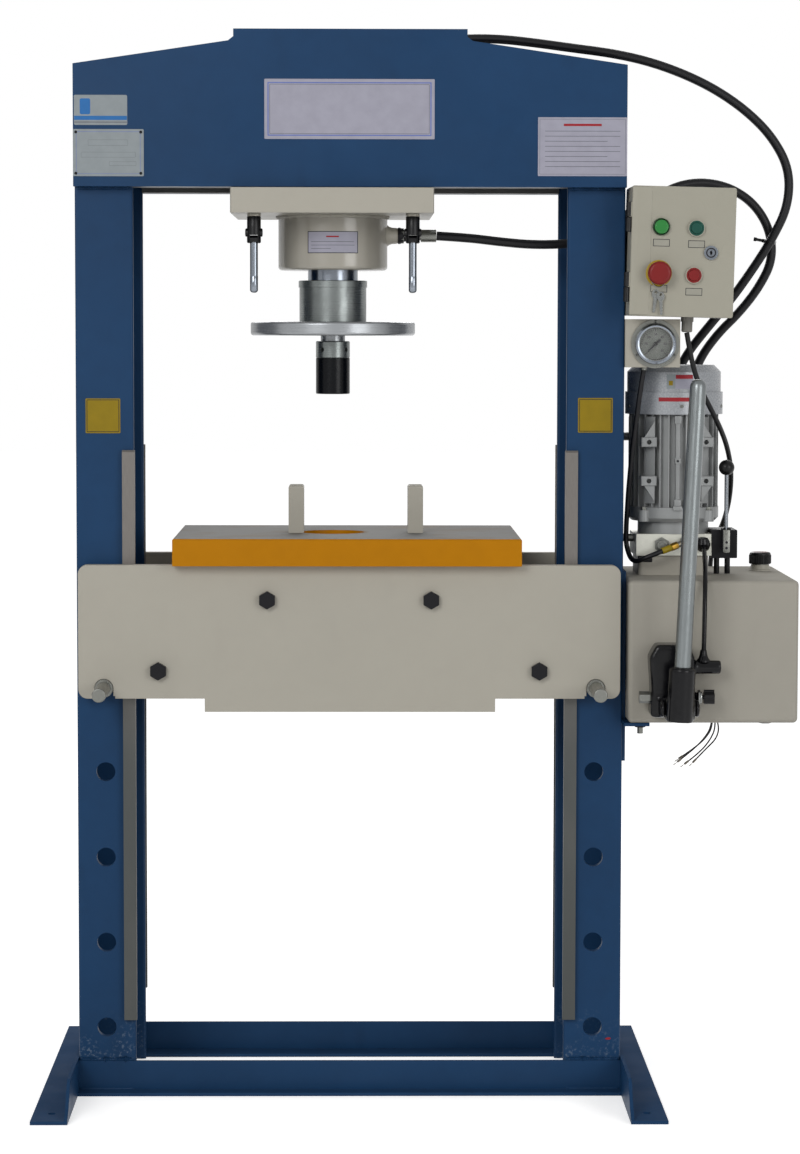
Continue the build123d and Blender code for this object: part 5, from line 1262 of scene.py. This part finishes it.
# Lock handles: a black barrel round each stud, with a rolled lip on top
lock_front = -154.0
lock_pivot = 1487.0
for side, lock_x in (("left", -165.5), ("right", 107.3)):
    place = basis((lock_x, lock_front, 0), UP)
    turned_piece(f"{side}_lock_barrel", place, [(1506, 8.2), (1506, 11.9), (1525.5, 11.9), (1527, 11.2),
                                                (1527, 8.2)], black_plastic, f"{side}_lock", 32)
    turned_piece(f"{side}_lock_seat", place, [(1527, 8.2), (1527, 11.6), (1531.6, 11.8), (1531.6, 8.2)],
                 cream, f"{side}_lock", 32)
    turned_piece(f"{side}_lever_head", basis((lock_x, lock_front, lock_pivot), RIGHT, UP),
                 [(-6.8, 0), (-6.8, 7.4), (6.8, 7.4), (6.8, 0)], black_plastic, f"{side}_lever", 32)
    turned_piece(f"{side}_lever_end", place, [(1396, 0), (1396.3, 3.6), (1397.6, 5.6), (1400, 6.9),
                                              (1424, 6.9), (1424.4, 6.7)], lock_lever, f"{side}_lever", 32)
    for end in (-1, 1):
        turned_piece(f"{side}_lock_lobe_{'in' if end > 0 else 'out'}",
                     basis((lock_x, lock_front, 1499), (end, 0, 0), UP),
                     [(10, 0), (10, 7.2), (13.2, 7.2), (14.6, 6.4), (15.0, 4.0), (15.0, 0)], black_plastic,
                     f"{side}_lock", 28)

# Cylinder port: the boss flares into the cylinder, then a dark nipple and a bright ferrule
port = basis((ram[0], 0, 1498), RIGHT, UP)
turned_piece("port_flare", port, [(88, 22), (95, 19.5), (99, 16.2), (104, 14.4), (112, 13.9), (113.5, 13.2),
                                  (113.5, 8)], cream, "carriage", 40)
turned_piece("port_nipple", port, [(114.5, 8), (114.5, 14.2), (118, 14.6), (121, 13.2), (124, 12.6),
                                   (126, 10.2), (131, 9.6), (131, 8.1)], black_oxide, "carriage", 32)

# Shelf of the tank bracket, which shows under the tank's front edge
block_piece("tank_shelf_lip", (outer_x, -186, 650), (outer_x + 44, -129, 655.6), blue, 0.6)

# Floor and light
floor_mesh = bpy.data.meshes.new("floor")
half = 30.0
floor_mesh.from_pydata([(-half, -half, 0), (half, -half, 0), (half, half, 0), (-half, half, 0)], [],
                       [(0, 1, 2, 3)])
floor = bpy.data.objects.new("floor", floor_mesh)
scene.collection.objects.link(floor)
floor_look = Shader("floor", (0.8, 0.8, 0.8, 1), 0.9)
paths = floor_look.node("ShaderNodeLightPath")
shown = floor_look.math("MAXIMUM", paths.outputs["Is Camera Ray"], paths.outputs["Is Glossy Ray"])
shown = floor_look.math("MAXIMUM", shown, paths.outputs["Is Transmission Ray"])
away = floor_look.node("ShaderNodeVectorMath", Vector=floor_look.place)
away.operation = "LENGTH"
near_lift = 0.55
far_lift = 0.74
lift = floor_look.spread(away.outputs["Value"], 1.0, 5.0, near_lift, far_lift)
floor_look.set("Emission Color", (1, 1, 1, 1))
floor_look.set("Emission Strength", floor_look.times(shown, lift))
floor_look.set("Specular IOR Level", 0.0)
floor_mesh.materials.append(floor_look.material)

world = bpy.data.worlds.new("world")
scene.world = world
world.use_nodes = True
tree = world.node_tree
background = tree.nodes["Background"]
paths = tree.nodes.new("ShaderNodeLightPath")


def world_level(socket, low, high):
    """A light level that goes from low to high with one kind of ray."""
    made = tree.nodes.new("ShaderNodeMapRange")
    made.inputs[3].default_value = low
    made.inputs[4].default_value = high
    tree.links.new(paths.outputs[socket], made.inputs[0])
    return made.outputs[0]


plain_light = 0.4
reflected_light = 0.8
largest = world_level("Is Glossy Ray", plain_light, reflected_light)
for socket in ("Is Camera Ray", "Is Transmission Ray"):
    higher = tree.nodes.new("ShaderNodeMath")
    higher.operation = "MAXIMUM"
    tree.links.new(largest, higher.inputs[0])
    tree.links.new(world_level(socket, 0.0, 1.0), higher.inputs[1])
    largest = higher.outputs[0]
tree.links.new(largest, background.inputs["Strength"])
background.inputs["Color"].default_value = (1, 1, 1, 1)


def lamp(name, place, target, size, energy):
    """A soft box that faces a point."""
    data = bpy.data.lights.new(name, "AREA")
    data.shape = "RECTANGLE"
    data.size, data.size_y = size
    data.energy = energy
    made = bpy.data.objects.new(name, data)
    made.location = place
    made.rotation_euler = (Vector(target) - Vector(place)).to_track_quat("-Z", "Y").to_euler()
    scene.collection.objects.link(made)
    return made


lamp("key", (-2.2, -5.2, 3.2), (0, 0, 1.1), (2.2, 2.2), 134)
lamp("fill", (3.4, -4.4, 2.0), (0.2, 0, 1.0), (2.4, 2.4), 78)
lamp("back", (0, 4.0, 3.4), (0, 0, 1.1), (3.0, 2.0), 90)
scene.view_settings.view_transform = "Standard"
